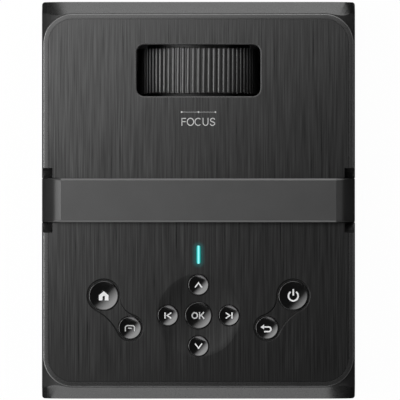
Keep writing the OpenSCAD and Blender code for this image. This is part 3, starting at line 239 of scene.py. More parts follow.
# dark ABS from a spark-eroded mould: even, matt, with a fine grain
CASE_ABS = moulded("moulded_dark_abs", "#222222", "#1d1d1d", 0.31, 0.5, 0.004, specular=0.696)
# its sides have a coarser grain and a duller, less glossy copy of the case's plastic, painted shade that keeps them
# dark beside the deck
SIDE_SHADE_ABS = moulded("moulded_dark_abs_side_painted_shade", "#2e2e2e", "#282828", 0.6, 0.7, 0.01, specular=0.37)
# painted light: its upright walls have a lighter copy of the case's plastic, standing in for the room's light on
# them, so they read as dark grey
WALL_LIT_ABS = moulded("moulded_dark_abs_wall_painted_light", "#3b3b3b", "#353535", 0.5, 0.7, 0.01, specular=0.71)
# painted sheen: its sloping shoulders have a copy of the case's plastic with stronger reflection, so they catch the
# light of the room brightly
SHOULDER_SHEEN_ABS = moulded("moulded_dark_abs_shoulder_painted_sheen", "#222222", "#1d1d1d", 0.31, 0.5, 0.004, specular=1.0, ior=1.81)
# painted sheen: the deck's rounded rim has a lighter, more reflective copy of the case's plastic, so it shows as a
# light line from all round the deck
RIM_SHEEN_ABS = moulded("rim_painted_sheen_abs", "#2c2c2c", "#262626", 0.4, 0.5, 0.002, specular=1.0, ior=1.81)
# the handle's ABS has a smoother mould, so it shines softly along its edges
HANDLE_ABS = moulded("satin_grey_abs", "#262626", "#202020", 0.47, 0.35, 0.005, specular=0.845)
# painted sheen: its chamfers have a lighter, more reflective and a little smoother copy of the handle's plastic, so
# each shows as a light line
HANDLE_EDGE_SHEEN = moulded("satin_grey_abs_edge_painted_sheen", "#2e2e2e", "#282828", 0.42, 0.35, 0.002, specular=1.0, ior=1.894)
# black ABS inside the case
INNER_ABS = moulded("inner_black_abs", "#1d1d1e", "#191919", 0.55, 0.5, 0.02)
# the ring's ABS: black, with a soft sheen on each rib
RING_ABS = moulded("satin_black_abs", "#1b1b1b", "#151515", 0.36, 0.4, 0.005, specular=0.895)
# dark brushed sheet on the deck: it takes the lamp's shine in streaks front to rear, and has the status light's glow
# painted round it as emission
BRUSHED = hairline("brushed_dark_aluminium", "#0a0a0a", "#111111", 0.3, 0.696, 0.45, PAINTED_GLOW)
# the same sheet in the dish, without the glow painted round the status light
BRUSHED_DISH = hairline("brushed_dark_aluminium_dish", "#0a0a0a", "#111111", 0.3, 0.696, 0.45)
# painted highlight: the sheet's cut edge round the window is a lighter grey, so it shows as a light line
WINDOW_EDGE_HIGHLIGHT = moulded("sheet_edge_painted_highlight", "#2e2e2e", "#262626", 0.3, 0.4, 0.002, specular=0.745)
# keys in polished black: mirrors of the lamps in their hollows
KEY_BLACK = polished("piano_black_abs", "#040404", 0.12, specular=1.0, ior=1.56)
# painted shade: a dull black strip in the engraved outlines stands in for their shade
GROOVE_SHADE = moulded("groove_painted_shade", "#0c0c0c", "#070707", 0.5, 0.3, 0.004, specular=0.3)
# painted shade: a dull dark sheet that lines the window and the handle's slots, standing in for the shade in those
# gaps
SHADE_LINING = moulded("dark_lining_painted_shade", "#262626", "#202020", 0.9, 0.4, 0.02, specular=0.25)
# white screen print on the keys and the deck
KEY_PRINT = moulded("white_screen_print", "#e7e7e7", "#dbdbdb", 0.5, 0.3, 0.002, specular=0.71)
# thinner ink of the finer signs and of the deck's word
DECK_PRINT = moulded("grey_screen_print", "#bfbfbf", "#b3b3b3", 0.5, 0.3, 0.002, specular=0.71)
# anodised ring round the lens
ANODISED = moulded("anodised_grey_aluminium", "#5a5a5c", "#505052", 0.3, 0.2, 0.003, metallic=1.0)
# perforated sheet with matt paint
PAINTED = moulded("painted_black_steel", "#1b1b1b", "#161616", 0.6, 0.3, 0.01)
# foot rubber: dull black with a coarse skin
RUBBER = moulded("black_foot_rubber", "#171717", "#121212", 0.8, 0.7, 0.04, specular=0.3)
# blackened so that it does not glint through the window
BLACK_STEEL = moulded("blackened_steel", "#0c0c0c", "#080808", 0.5, 0.3, 0.004)
# yellow turned brass of the tripod insert
BRASS = moulded("turned_brass", "#c39a48", "#a8823a", 0.28, 0.15, 0.004, metallic=1.0)
# bright plated screws and socket shells
STEEL = moulded("plated_steel", "#b4b4b2", "#a2a2a0", 0.25, 0.2, 0.003, metallic=1.0)
# green circuit boards, with a satin lacquer
BOARD = moulded("green_solder_mask", "#1f5a37", "#184a2c", 0.35, 1.2, 0.01)
# matt black plastic of small electric parts
COMPONENT = moulded("black_component_plastic", "#1e1e1e", "#181818", 0.5, 0.4, 0.01)
# copper windings, rough with their turns
COPPER = moulded("wound_copper_wire", "#a8622e", "#7f4520", 0.35, 0.4, 0.08, metallic=1.0)
# pale bare aluminium with a satin shine
SINK = moulded("extruded_aluminium", "#c4c5c6", "#b2b3b4", 0.35, 0.4, 0.006, metallic=1.0)
# off-white lacquer under the lamp
LED_COPPER = moulded("led_carrier_white_mask", "#d9d6c8", "#c9c5b2", 0.4, 0.6, 0.005)
# lens glass with a violet coating
GLASS = clear("coated_optical_glass", "#dfe9ee", 0.02, 1.52, 0.4)
# clear plastic, a little softer than glass
ACRYLIC = clear("clear_acrylic", "#e6edf0", 0.08, 1.49)
# the panel's nearly black film
DISPLAY = polished("polarising_film", "#0b0f14", 0.15)
# window that looks black with a red depth
IR_FILTER = polished("dark_red_infrared_filter", "#1c0508", 0.12)

CORE_FROM, CORE_TO = 0.1, 1.0


def lit(name, colours):
    """Frosted acrylic lit from below: the colour of its light runs from the middle line to its edge, CORE_FROM to
    CORE_TO millimetres off."""
    material, tree, shader, where = new_material(name)
    local = put(tree, "ShaderNodeMapping", {"vector_type": "POINT"}, {
        "Vector": (where, "Object"), "Location": tuple((-LIGHT_MID).tolist())})
    parts = put(tree, "ShaderNodeSeparateXYZ", None, {"Vector": (local, "Vector")})
    side = put(tree, "ShaderNodeMath", {"operation": "ABSOLUTE"}, {0: (parts, "X")})
    core = put(tree, "ShaderNodeMapRange", {"interpolation_type": "SMOOTHSTEP"}, {
        "Value": (side, "Value"), "From Min": CORE_FROM * MM, "From Max": CORE_TO * MM})
    light = put(tree, "ShaderNodeValToRGB", {"points": colours}, {"Fac": (core, "Result")})
    tree.links.new(light.outputs["Color"], shader.inputs["Emission Color"])
    shader.inputs["Base Color"].default_value = linear("#041818")
    shader.inputs["Emission Strength"].default_value = 1.0
    shader.inputs["Roughness"].default_value = 0.35
    shader.inputs["Specular IOR Level"].default_value = 0.25
    return material


# the status light's pipe: nearly white in the middle and teal at its edge
LIGHT_PIPE = lit("lit_frosted_acrylic", [(0.0, "#9cffff"), (0.5, "#40d2cf"), (1.0, "#00807e")])

FINISH = {
    "case_plastic": INNER_ABS, "handle_plastic": HANDLE_ABS, "brushed_panel": BRUSHED, "bezel_metal": ANODISED,
    "grille_metal": PAINTED, "foot_rubber": RUBBER, "insert_brass": BRASS, "steel": STEEL, "key_gloss": KEY_BLACK,
    "board": BOARD, "component_plastic": COMPONENT, "light_pipe": LIGHT_PIPE, "ring_plastic": RING_ABS,
    "lens_glass": GLASS, "fresnel_plastic": ACRYLIC, "display": DISPLAY, "led_board": LED_COPPER,
    "sink_aluminium": SINK, "coil": COPPER, "ir_plastic": IR_FILTER,
}
SLOT_OF = {row["node"]: row["material_slot"] for row in frame["record"]["subparts"]}
for name, obj in NODES.items():
    obj.data.materials.clear()
    obj.data.materials.append(BLACK_STEEL if name == "ring_clip" else FINISH[SLOT_OF[name]])


# Mesh helpers

def mesh_object(name, grids, material, smooth_deg=30):
    """One mesh of several grids. Each grid is (points[u, v], wrap u, wrap v): quads join neighbours, a wrap
    joins the last row to the first, and rows drawn together to a point close an end."""
    points, quads, start = [], [], 0
    for grid, wrap_u, wrap_v in grids:
        n, m = grid.shape[:2]
        index = start + np.arange(n * m).reshape(n, m)
        index = np.concatenate([index, index[:1]]) if wrap_u else index
        index = np.concatenate([index, index[:, :1]], axis=1) if wrap_v else index
        quads.append(np.stack([index[:-1, :-1], index[1:, :-1], index[1:, 1:], index[:-1, 1:]], -1).reshape(-1, 4))
        points.append(grid.reshape(-1, 3))
        start += n * m
    points, quads = np.concatenate(points), np.concatenate(quads)
    mesh = bpy.data.meshes.new(name)
    mesh.from_pydata(points.tolist(), [], quads.tolist())
    work = bmesh.new()
    work.from_mesh(mesh)
    bmesh.ops.remove_doubles(work, verts=work.verts, dist=0.0005 * MM)
    bmesh.ops.recalc_face_normals(work, faces=work.faces)
    work.to_mesh(mesh)
    work.free()
    mesh.materials.append(material)
    mesh.shade_smooth()
    mesh.set_sharp_from_angle(angle=math.radians(smooth_deg))
    obj = bpy.data.objects.new(name, mesh)
    bpy.context.scene.collection.objects.link(obj)
    return obj


def place(obj, body, slot, *nodes):
    """Put a finished piece on its body, and hide the nodes that it stands for. slot is not used."""
    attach(obj, body)
    if nodes:
        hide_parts(*nodes)
    return obj


# the deck's outline: round of its edge, middle of a round corner and that corner's radius, in millimetres
RIM_ROUND, RIM_STEPS, RIM_CORNER, RIM_R = 0.57, 5, (63.25, 79.0), 15.0
SAME_HEIGHT, SAME_OUTLINE = 0.01, 0.1
# the shoulder's slope, the fall and reach of the deck's foot, and the reach of the space cut over it
SHOULDER, FOOT_DROP, FOOT_OUT, CUT_OUT = math.radians(44.5), 0.6, 0.2, 12.0
# faces of the housing, which get copies of the case's material with painted light and shade: the sides lie past
# SIDE_FROM millimetres and face neither end; walls are nearly upright, and shoulders half so
SIDE_FROM, SIDE_TURN, SIDE_TILT, WALL_TILT, SLOPE_TILT = 66.0, 0.03, 0.01, 0.2, 0.5
RIM_SLOT, SIDE_SLOT, SHOULDER_SLOT, WALL_SLOT = 1, 2, 3, 4
MERGE, FLAT = 0.002 * MM, math.radians(0.5)


def values(rows, name, width=3):
    """One property of all rows of a mesh, as an array with a row each."""
    found = np.empty(width * len(rows), int if name == "vertices" else float)
    rows.foreach_get(name, found)
    return found.reshape(-1, width)


def rim_edges(mesh):
    """Numbers of the edges of the deck's outline: level, at the deck's height, and RIM_R away from the rectangle
    between the middles of its round corners."""
    spot = values(mesh.vertices, "co") / MM
    away = np.hypot(*np.maximum(np.abs(spot[:, :2]) - RIM_CORNER, 0).T)
    on_rim = (spot[:, 2] > spot[:, 2].max() - SAME_HEIGHT) & (np.abs(away - RIM_R) < SAME_OUTLINE)
    return np.flatnonzero(on_rim[values(mesh.edges, "vertices", 2)].all(1)).tolist()


def corner_cutter(deck):
    """Space over the shoulder at the deck's corners: a line that falls outward from the deck's foot at the
    shoulder's slope, turned a quarter round the middle of each round corner, and closed well above the deck."""
    a = np.radians(np.linspace(0, 90, 46))[:, None]
    r = RIM_R + FOOT_OUT + np.array([0, CUT_OUT, CUT_OUT, 0])
    z = deck + np.array([-FOOT_DROP, -FOOT_DROP - CUT_OUT * math.tan(SHOULDER), CUT_OUT, CUT_OUT])
    grids = []
    for sx, sy in ((1, 1), (-1, 1), (-1, -1), (1, -1)):
        grid = np.stack([sx * (RIM_CORNER[0] + r * np.cos(a)), sy * (RIM_CORNER[1] + r * np.sin(a)), z + 0 * a], -1)
        ends = grid[[0, -1]].mean(1, keepdims=True) + 0 * grid[[0, -1]]
        grids.append((np.concatenate([ends[:1], grid, ends[1:]]) * MM, False, True))
    return mesh_object("corner_cutter", grids, CASE_ABS)


def without(mesh, cutter):
    """Mesh with the cutter's space taken out of it; the cutter is deleted."""
    work = bpy.data.objects.new("work", mesh)
    bpy.context.scene.collection.objects.link(work)
    cut = work.modifiers.new("cut", "BOOLEAN")
    cut.object, cut.operation, cut.solver = cutter, "DIFFERENCE", "EXACT"
    made = bpy.data.meshes.new_from_object(work.evaluated_get(bpy.context.evaluated_depsgraph_get()))
    made.name = mesh.name
    bpy.data.objects.remove(work)
    bpy.data.meshes.remove(cutter.data)
    return made


def housing_forms(mesh):
    """Housing with its shoulder carried round the deck's corners and the deck's outline rounded to RIM_ROUND, and
    the rim, sides, walls and shoulders given copies of the case's material that paint light and shade on them by the
    way that each face faces."""
    mesh = without(mesh, corner_cutter((values(mesh.vertices, "co")[:, 2].max()) / MM))
    for material in (RIM_SHEEN_ABS, SIDE_SHADE_ABS, SHOULDER_SHEEN_ABS, WALL_LIT_ABS):
        mesh.materials.append(material)
    work = bmesh.new()
    work.from_mesh(mesh)
    work.edges.ensure_lookup_table()
    bmesh.ops.bevel(work, geom=[work.edges[i] for i in rim_edges(mesh)], offset=RIM_ROUND * MM, offset_type="OFFSET",
                    segments=RIM_STEPS, profile=0.5, affect="EDGES", clamp_overlap=False, material=RIM_SLOT)
    work.to_mesh(mesh)
    work.free()
    across, along, up = values(mesh.polygons, "normal").T
    middle_x = values(mesh.polygons, "center")[:, 0]
    slot = values(mesh.polygons, "material_index", 1)[:, 0]
    side = (np.abs(along) < SIDE_TURN) & (np.abs(middle_x) > SIDE_FROM * MM) & (np.abs(across) > SIDE_TILT)
    slope = (np.hypot(across, along) > SLOPE_TILT) & (up > SLOPE_TILT) & ~side
    facing = np.select([np.abs(up) < WALL_TILT, side, slope], [WALL_SLOT, SIDE_SLOT, SHOULDER_SLOT], 0)
    mesh.polygons.foreach_set("material_index", np.where(slot > 0, slot, facing).astype(int))
    return mesh


EDGE_STEPS, EDGE_ANGLE = 2, math.radians(30)


def break_edges(obj, width_mm):
    """Small bevel on each edge sharper than EDGE_ANGLE."""
    bevel = obj.modifiers.new("edge", "BEVEL")
    bevel.width, bevel.segments, bevel.limit_method = width_mm * MM, EDGE_STEPS, "ANGLE"
    bevel.angle_limit, bevel.harden_normals = EDGE_ANGLE, True


def edged(node, name, material, bevel_mm=0, forms=None):
    """Copy of a CAD node with merged points, changed by the function forms, its sharp edges broken by bevel_mm."""
    mesh = NODES[node].data.copy()
    mesh.name = name
    work = bmesh.new()
    work.from_mesh(mesh)
    bmesh.ops.remove_doubles(work, verts=work.verts, dist=MERGE)
    bmesh.ops.dissolve_limit(work, angle_limit=FLAT, verts=work.verts, edges=work.edges)
    work.to_mesh(mesh)
    work.free()
    mesh.materials.clear()
    mesh.materials.append(material)
    if forms:
        mesh = forms(mesh)
    if "custom_normal" in mesh.attributes:
        mesh.attributes.remove(mesh.attributes["custom_normal"])
    mesh.shade_smooth()
    mesh.set_sharp_from_angle(angle=EDGE_ANGLE)
    obj = bpy.data.objects.new(name, mesh)
    bpy.context.scene.collection.objects.link(obj)
    if bevel_mm:
        break_edges(obj, bevel_mm)
    return place(obj, BODY_OF[node], SLOT_OF[node], node)


# CAD node, name of its copy, material, and width of the bevel on its edges in millimetres
EDGED = [
    ("base_shell", "base_tray_moulding", WALL_LIT_ABS, 0.25),
    ("top_panel", "brushed_deck_sheet", BRUSHED, 0.08),
    ("rear_panel", "socket_panel_moulding", INNER_ABS, 0.3),
    ("lens_bezel", "lens_trim_ring", ANODISED, 0.2),
    ("left_fan_grille", "left_vent_louvre", PAINTED, 0.2),
    ("right_fan_grille", "right_vent_louvre", PAINTED, 0.2),
    ("left_speaker_grille", "left_speaker_mesh", PAINTED, 0.15),
    ("right_speaker_grille", "right_speaker_mesh", PAINTED, 0.15),
    ("rubber_feet", "foot_pads", RUBBER, 0.6),
    ("dpad_dish", "navigation_dish", BRUSHED_DISH, 0.15),
    ("focus_ring", "ribbed_focus_ring", RING_ABS, 0.18),
    ("status_light", "status_light_pipe", LIGHT_PIPE, 0.2),
]
edged("top_housing", "housing_moulding", CASE_ABS, forms=housing_forms)
for row in EDGED:
    edged(*row)


# Keys

FLANGE_W, FLANGE_T, STEM_R, STEM_L = 1.1, 1.2, 1.6, 1.4
KEY_HOLLOW, KEY_EDGE = 0.8, 0.3
KEY_NAMES = ["ok", "up", "down", "previous", "next", "home", "menu", "power", "back"]


def key_size(key):
    """Centre x and y, cap radius, and heights of the rim and the stem's end of a key, in millimetres."""
    low, high = (np.array(c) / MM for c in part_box("key_" + key))
    return (low[0] + high[0]) / 2, (low[1] + high[1]) / 2, (high[0] - low[0]) / 2 - FLANGE_W, high[2], low[2]


def cap_height(r, cap_r, top):
    """Height of a cap's hollow, a part of a sphere, at the distance r from the key's middle."""
    ball = (cap_r ** 2 + KEY_HOLLOW ** 2) / (2 * KEY_HOLLOW)
    return top - KEY_HOLLOW + ball - np.sqrt(ball ** 2 - r ** 2)


def turned(profile, x, y, turns=96):
    """Profile of (radius, height) carried round the upright line through x, y."""
    a = np.linspace(0, 2 * np.pi, turns, endpoint=False)
    r, z = profile[:, :1], profile[:, 1:]
    return np.stack([x + r * np.cos(a), y + r * np.sin(a), z + 0 * a], -1) * MM


def key_profile(cap_r, top, low):
    """Hollow cap, rounded rim, wall, flange and stem of a key, from the middle of its top to that of its end."""
    r = np.linspace(0, cap_r - KEY_EDGE, 24)
    cap = np.stack([r, cap_height(r, cap_r, top)], 1)
    a = np.linspace(np.pi / 2, 0, 7)[1:]
    rise = cap[-1, 1]
    rim = np.stack([cap_r - KEY_EDGE + KEY_EDGE * np.cos(a), rise - KEY_EDGE + KEY_EDGE * np.sin(a)], 1)
    flange = low + STEM_L
    foot = np.array([[cap_r, flange + FLANGE_T], [cap_r + FLANGE_W, flange + FLANGE_T], [cap_r + FLANGE_W, flange],
                     [STEM_R, flange], [STEM_R, low], [0, low]])
    return np.concatenate([cap, rim, foot])


KEY_SIZE = {k: key_size(k) for k in KEY_NAMES}
for key, (x, y, cap_r, top, low) in KEY_SIZE.items():
    cap = mesh_object(f"{key}_key_cap", [(turned(key_profile(cap_r, top, low), x, y), False, True)], KEY_BLACK)
    place(cap, f"{key}_key", "key_gloss", f"key_{key}")


# Handle

HANDLE_LOW, HANDLE_HIGH = (np.array(c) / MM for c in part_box("handle"))
HANDLE_T, HANDLE_R, CREASE = 4.0, 15.0, math.radians(25)
BAND_CHAMFER, LEG_CHAMFER, INNER_CHAMFER = 0.9, 0.15, 0.25
# outer bend: distance from the middle and slope in degrees where its facet starts and ends, and where the
# large round down to the leg starts
BEND_X, BEND_SLOPE = np.array([69.2, 71.9, 73.8]), np.array([24.0, 29.0, 52.0])


def bend_line(half, top):
    """Outer line of the right-hand bend: a facet whose slope grows slowly, a tight turn, then a part of a large
    circle that ends upright. Heights of the first two come from adding up the slopes."""
    x = np.linspace(BEND_X[0], BEND_X[2], 13)
    slope = np.tan(np.radians(np.interp(x, BEND_X, BEND_SLOPE)))
    z = top - np.append(0, np.cumsum((slope[1:] + slope[:-1]) / 2 * np.diff(x)))
    a = np.radians(np.linspace(BEND_SLOPE[2], 90, 21))[1:]
    r = (half - BEND_X[2]) / (1 - np.sin(np.radians(BEND_SLOPE[2])))
    round_x, round_z = half - r * (1 - np.sin(a)), z[-1] - r * (np.cos(np.radians(BEND_SLOPE[2])) - np.cos(a))
    return np.stack([np.append(x, round_x), np.append(z, round_z)], 1)


def handle_path():
    """Outer and inner line of the handle: up the left leg, round its bend, over the band and down again."""
    half, top, foot = HANDLE_HIGH[0], HANDLE_HIGH[2], HANDLE_LOW[2]
    outer = bend_line(half, top)
    bend_x, bend_z = half - HANDLE_R, top - HANDLE_R * np.cos(CREASE)
    inner_r = HANDLE_R - HANDLE_T
    inner_a = np.linspace(1, 0, len(outer))[:, None] * np.arcsin((top - HANDLE_T - bend_z) / inner_r)
    inner = np.hstack([bend_x + inner_r * np.cos(inner_a), bend_z + inner_r * np.sin(inner_a)])
    down = np.linspace(0, 1, 12)[1:, None]
    outer = np.concatenate([outer, outer[-1] + down * [0, foot - outer[-1, 1]]])
    inner = np.concatenate([inner, inner[-1] + down * [0, foot - inner[-1, 1]]])
    flip = np.array([-1, 1])
    band = np.linspace(-1, 1, 21)[1:-1, None]
    outer_band = np.hstack([band * outer[0, 0], 0 * band + outer[0, 1]])
    inner_band = np.hstack([band * inner[0, 0], 0 * band + inner[0, 1]])
    return (np.concatenate([outer[::-1] * flip, outer_band, outer]),
            np.concatenate([inner[::-1] * flip, inner_band, inner]))


def handle_grid():
    """Section of the handle, a bar with chamfered edges, carried along its outer and inner line. Across the
    section, depth goes from 0 outside to 1 inside, and y from side to side. The outer chamfer narrows smoothly
    from the band to the legs."""
    outer, inner = handle_path()
    half = HANDLE_HIGH[0]
    f = np.clip((half - np.abs(outer[:, 0])) / (half - BEND_X[0]), 0, 1)
    c = LEG_CHAMFER + (BAND_CHAMFER - LEG_CHAMFER) * f * f * (3 - 2 * f)
    w, t, e, one = (HANDLE_HIGH[1] - HANDLE_LOW[1]) / 2, HANDLE_T, INNER_CHAMFER, np.ones_like(c)
    y = np.stack([c - w, w - c, w * one, w * one, (w - e) * one, (e - w) * one, -w * one, -w * one], 1)
    depth = np.stack([0 * c, 0 * c, c, (t - e) * one, t * one, t * one, (t - e) * one, c], 1) / t
    p = outer[:, None] + (inner - outer)[:, None] * depth[..., None]
    grid = np.stack([p[..., 0], y, p[..., 1]], -1)
    ends = grid[[0, -1]].mean(1, keepdims=True) + 0 * grid[[0, -1]]
    return np.concatenate([ends[:1], grid, ends[1:]]) * MM


HANDLE_BEVEL, CHAMFER_TILT = 0.12, 0.4
handle = mesh_object("carry_handle_bow", [(handle_grid(), False, True)], HANDLE_ABS, 12)
break_edges(handle, HANDLE_BEVEL)
handle.data.materials.append(HANDLE_EDGE_SHEEN)
# the chamfers take the copy with the painted sheen
facing = values(handle.data.polygons, "normal")
chamfered = (np.abs(facing[:, 1]) > CHAMFER_TILT) & (facing[:, 2] > CHAMFER_TILT)
handle.data.polygons.foreach_set("material_index", chamfered.astype(int))
place(handle, "carry_handle", "handle_plastic", "handle")


def pad(low, high):
    """Upright strip between two corners: a squarish section, x^6 + y^6 = 1, carried along z, with rounded ends
    that are drawn together."""
    a = np.linspace(0, 2 * np.pi, 32, endpoint=False)
    round_off = np.stack([np.cos(a), np.sin(a)], 1)
    section = np.sign(round_off) * np.abs(round_off) ** (1 / 3)
    share = np.array([0, 0.6, 0.92, 1, 1, 0.92, 0.6, 0])[:, None, None]
    up = np.array([0, 0, 0.005, 0.02, 0.98, 0.995, 1, 1])[:, None, None]
    low, high = np.array(low, float), np.array(high, float)
    flat = (low + high)[:2] / 2 + share * section * (high - low)[:2] / 2
    return np.concatenate([flat, low[2] + up * (high - low)[2] + 0 * flat[..., :1]], -1) * MM, False, True


# dark strips that close the gaps beside the legs: painted shade
STRIP_X, STRIP_Y, STRIP_Z = (76.4, 78.9), (0.05, 0.34), (50.0, 69.3)
strips = []
for sx in (-1, 1):
    for sy in (-1, 1):
        xs, ys = sorted(sx * c for c in STRIP_X), sorted(sy * (HANDLE_HIGH[1] + c) for c in STRIP_Y)
        strips.append(pad((xs[0], ys[0], STRIP_Z[0]), (xs[1], ys[1], STRIP_Z[1])))
place(mesh_object("handle_slot_shade_strips", strips, SHADE_LINING), "chassis", "case_plastic")


# Printed signs and words

PRINT_T, HOUSE_SIZE = 0.03, 0.91


def dense(path, step=0.25):
    """Points along a path of straight pieces, its corners kept, no further apart than step."""
    path = np.asarray(path, float)
    length = np.linalg.norm(np.diff(path, axis=0), axis=1)
    parts = [np.linspace(a, b, max(2, int(np.ceil(l / step)) + 1))[:-1] for a, b, l in zip(path, path[1:], length)]
    return np.concatenate(parts + [path[-1:]])


def arc(x, y, rx, ry, start, end, count=40):
    """Points on an ellipse from one angle to another, in degrees."""
    a = np.radians(np.linspace(start, end, count))
    return np.stack([x + rx * np.cos(a), y + ry * np.sin(a)], 1)


def spline(points, count=12):
    """Smooth path through points: each piece is the cubic of its two ends and their neighbours."""
    p = np.asarray(points, float)
    p = np.concatenate([2 * p[:1] - p[1:2], p, 2 * p[-1:] - p[-2:-1]])
    t = np.linspace(0, 1, count, endpoint=False)[None, :, None]
    a, b, c, d = p[:-3, None], p[1:-2, None], p[2:-1, None], p[3:, None]
    q = 0.5 * (2 * b + (c - a) * t + (2 * a - 5 * b + 4 * c - d) * t ** 2 + (3 * b - a - 3 * c + d) * t ** 3)
    return np.concatenate([q.reshape(-1, 2), p[-2:-1]])


def swept(path, profile, height, closed=False):
    """Profile of (offset, lift) carried along a flat path: each of its points lies offset to the path's left
    along the mitre, and lift above height(x, y). Open ends are drawn together."""
    path, profile = np.asarray(path, float), np.asarray(profile, float)
    before = np.roll(path, 1, 0) if closed else np.concatenate([2 * path[:1] - path[1:2], path[:-1]])
    after = np.roll(path, -1, 0) if closed else np.concatenate([path[1:], 2 * path[-1:] - path[-2:-1]])
    d0, d1 = path - before, after - path
    d0, d1 = d0 / np.linalg.norm(d0, axis=1)[:, None], d1 / np.linalg.norm(d1, axis=1)[:, None]
    n0, n1 = np.stack([-d0[:, 1], d0[:, 0]], 1), np.stack([-d1[:, 1], d1[:, 0]], 1)
    mitre = n0 + n1
    mitre = mitre / np.maximum((mitre * n0).sum(1), 0.3)[:, None]
    flat = path[:, None] + mitre[:, None] * profile[None, :, :1]
    grid = np.concatenate([flat, (height(flat[..., 0], flat[..., 1]) + profile[:, 1])[..., None]], -1)
    if not closed:
        ends = grid[[0, -1]].mean(1, keepdims=True) + 0 * grid[[0, -1]]
        grid = np.concatenate([ends[:1], grid, ends[1:]])
    return grid * MM, closed, True


def stroke(path, width, height, closed=False):
    """Flat print of this width along a path, PRINT_T above the surface and as far below it."""
    side = np.linspace(-width / 2, width / 2, 5)
    rise = np.full(5, PRINT_T)
    return swept(path, np.stack([np.append(side, side[::-1]), np.append(rise, -rise)], 1), height, closed)


def filled(x, low, high, height, rows=9):
    """Flat print between the lines low(x) and high(x), as a strip over and under the surface."""
    t = np.linspace(0, 1, rows)
    y = low[:, None] + (high - low)[:, None] * np.concatenate([t, t[::-1]])
    px = np.broadcast_to(x[:, None], y.shape)
    lift = np.array([PRINT_T] * rows + [-PRINT_T] * rows)
    grid = np.stack([px, y, height(px, y) + lift], -1)
    ends = grid[[0, -1]].mean(1, keepdims=True) + 0 * grid[[0, -1]]
    return np.concatenate([ends[:1], grid, ends[1:]]) * MM, False, True


def house():
    """Outline of the home sign as lines over x: walls, roof to the ridge, and the door cut from below."""
    x = np.array([-2.65, -2.5, -1.6, -0.66, -0.65, -0.4, 0, 0.4, 0.65, 0.66, 1.6, 2.5, 2.65])
    high = 2.5 - 0.86 * np.abs(x)
    low = np.where(np.abs(x) < 0.655, np.sqrt(np.maximum(0.66 ** 2 - x ** 2, 0)) - 0.75, -2.6)
    high = np.where(np.abs(x) > 2.6, high - 0.25, high)
    return x * HOUSE_SIZE, low * HOUSE_SIZE, high * HOUSE_SIZE


STROKE = 0.62
# head of the return arrow: from its tip to its back, its height and its slope
TIP_FROM, TIP_TO, TIP_Y, TIP_SLOPE = -3.3, -1.5, 0.45, 0.66
OTHER_STROKES = {"power": 0.8, "back": 0.7, "menu": 0.55}
WHITE_SIGNS = {"home", "power", "back", "up", "down", "previous", "next"}
SIGNS = {
    "up": [dense([(-1.75, -1.3), (0, 1.05), (1.75, -1.3)])],
    "down": [dense([(-1.75, 1.3), (0, -1.05), (1.75, 1.3)])],
    "previous": [dense([(-1.45, -1.55), (-1.45, 1.55)]), dense([(1.7, 1.45), (-0.35, 0), (1.7, -1.45)])],
    "next": [dense([(1.45, -1.55), (1.45, 1.55)]), dense([(-1.7, 1.45), (0.35, 0), (-1.7, -1.45)])],
    "power": [arc(0, -0.15, 2.45, 2.45, 124, 416), dense([(0, 0.05), (0, 3.3)])],
    "back": [np.concatenate([dense([(-1.7, 0.45), (0.8, 0.45)]), arc(0.8, -0.72, 1.17, 1.17, 88, -88),
                             dense([(0.8, -1.89), (-1.5, -1.89)])])],
    "menu": [np.concatenate([dense([(-2.3, -1.75), (-2.3, 0)]), arc(-1.2, 0, 1.1, 1.1, 178, 92, 12),
                             dense([(-1.2, 1.1), (1.2, 1.1)]), arc(1.2, 0, 1.1, 1.1, 88, 2, 12),
                             dense([(2.3, 0), (2.3, -1.75)])]),
             dense([(-0.95, -0.2), (0.95, -0.2)])],
    "ok": [arc(-1.85, 0, 1.35, 1.4, 0, 351, 40), dense([(0.55, -1.75), (0.55, 1.75)]),
           dense([(0.6, -0.45), (2.75, 1.7)]), dense([(1.35, 0.25), (2.85, -1.7)])],
    "home": [],
}
for key, paths in SIGNS.items():
    x, y, cap_r, top, low = KEY_SIZE[key]

    def on_cap(px, py):
        """Height of this key's hollow at px, py."""
        return cap_height(np.hypot(px - x, py - y), cap_r, top)

    at = np.array([x, y])
    width = OTHER_STROKES.get(key, STROKE)
    strips = [stroke(path + at, width, on_cap, key == "ok" and i == 0) for i, path in enumerate(paths)]
    if key == "home":
        hx, hlow, hhigh = house()
        strips.append(filled(hx + x, hlow + y, hhigh + y, on_cap))
    if key == "back":
        tip = np.linspace(TIP_FROM, TIP_TO, 10)
        reach = np.maximum((tip - TIP_FROM) * TIP_SLOPE, 0.01)
        strips.append(filled(tip + x, y + TIP_Y - reach, y + TIP_Y + reach, on_cap))
    ink = KEY_PRINT if key in WHITE_SIGNS else DECK_PRINT
    place(mesh_object(f"{key}_key_print", strips, ink), f"{key}_key", "key_gloss")

PANEL_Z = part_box("top_panel")[1][2] / MM


def on_panel(px, py):
    """Height of the flat sheet at px, py."""
    return PANEL_Z + 0 * px


LETTER_H, LETTER_STROKE, WORD_Y = 1.78, 0.42, 39.5
LETTERS = {
    "F": (-7.3, [dense([(-1.05, -1), (-1.05, 1)]), dense([(-1.2, 0.87), (1.0, 0.87)]),
                 dense([(-1.2, 0.05), (0.8, 0.05)])]),
    "O": (-4.05, [arc(0, 0, 1.62, 0.9, 0, 351, 48)]),
    "C": (-0.15, [arc(0, 0, 1.62, 0.9, 48, 312, 40)]),
    "U": (3.55, [np.concatenate([dense([(-1.25, 1), (-1.25, -0.2)]), arc(0, -0.2, 1.25, 0.7, 182, 358, 24),
                                 dense([(1.25, -0.2), (1.25, 1)])])]),
    "S": (7.05, [spline([(1.15, 0.58), (0.6, 0.87), (-0.25, 0.88), (-1.05, 0.5), (-0.6, 0.12), (0.6, -0.12),
                         (1.15, -0.5), (0.3, -0.9), (-0.6, -0.86), (-1.25, -0.52)])]),
}
word = []
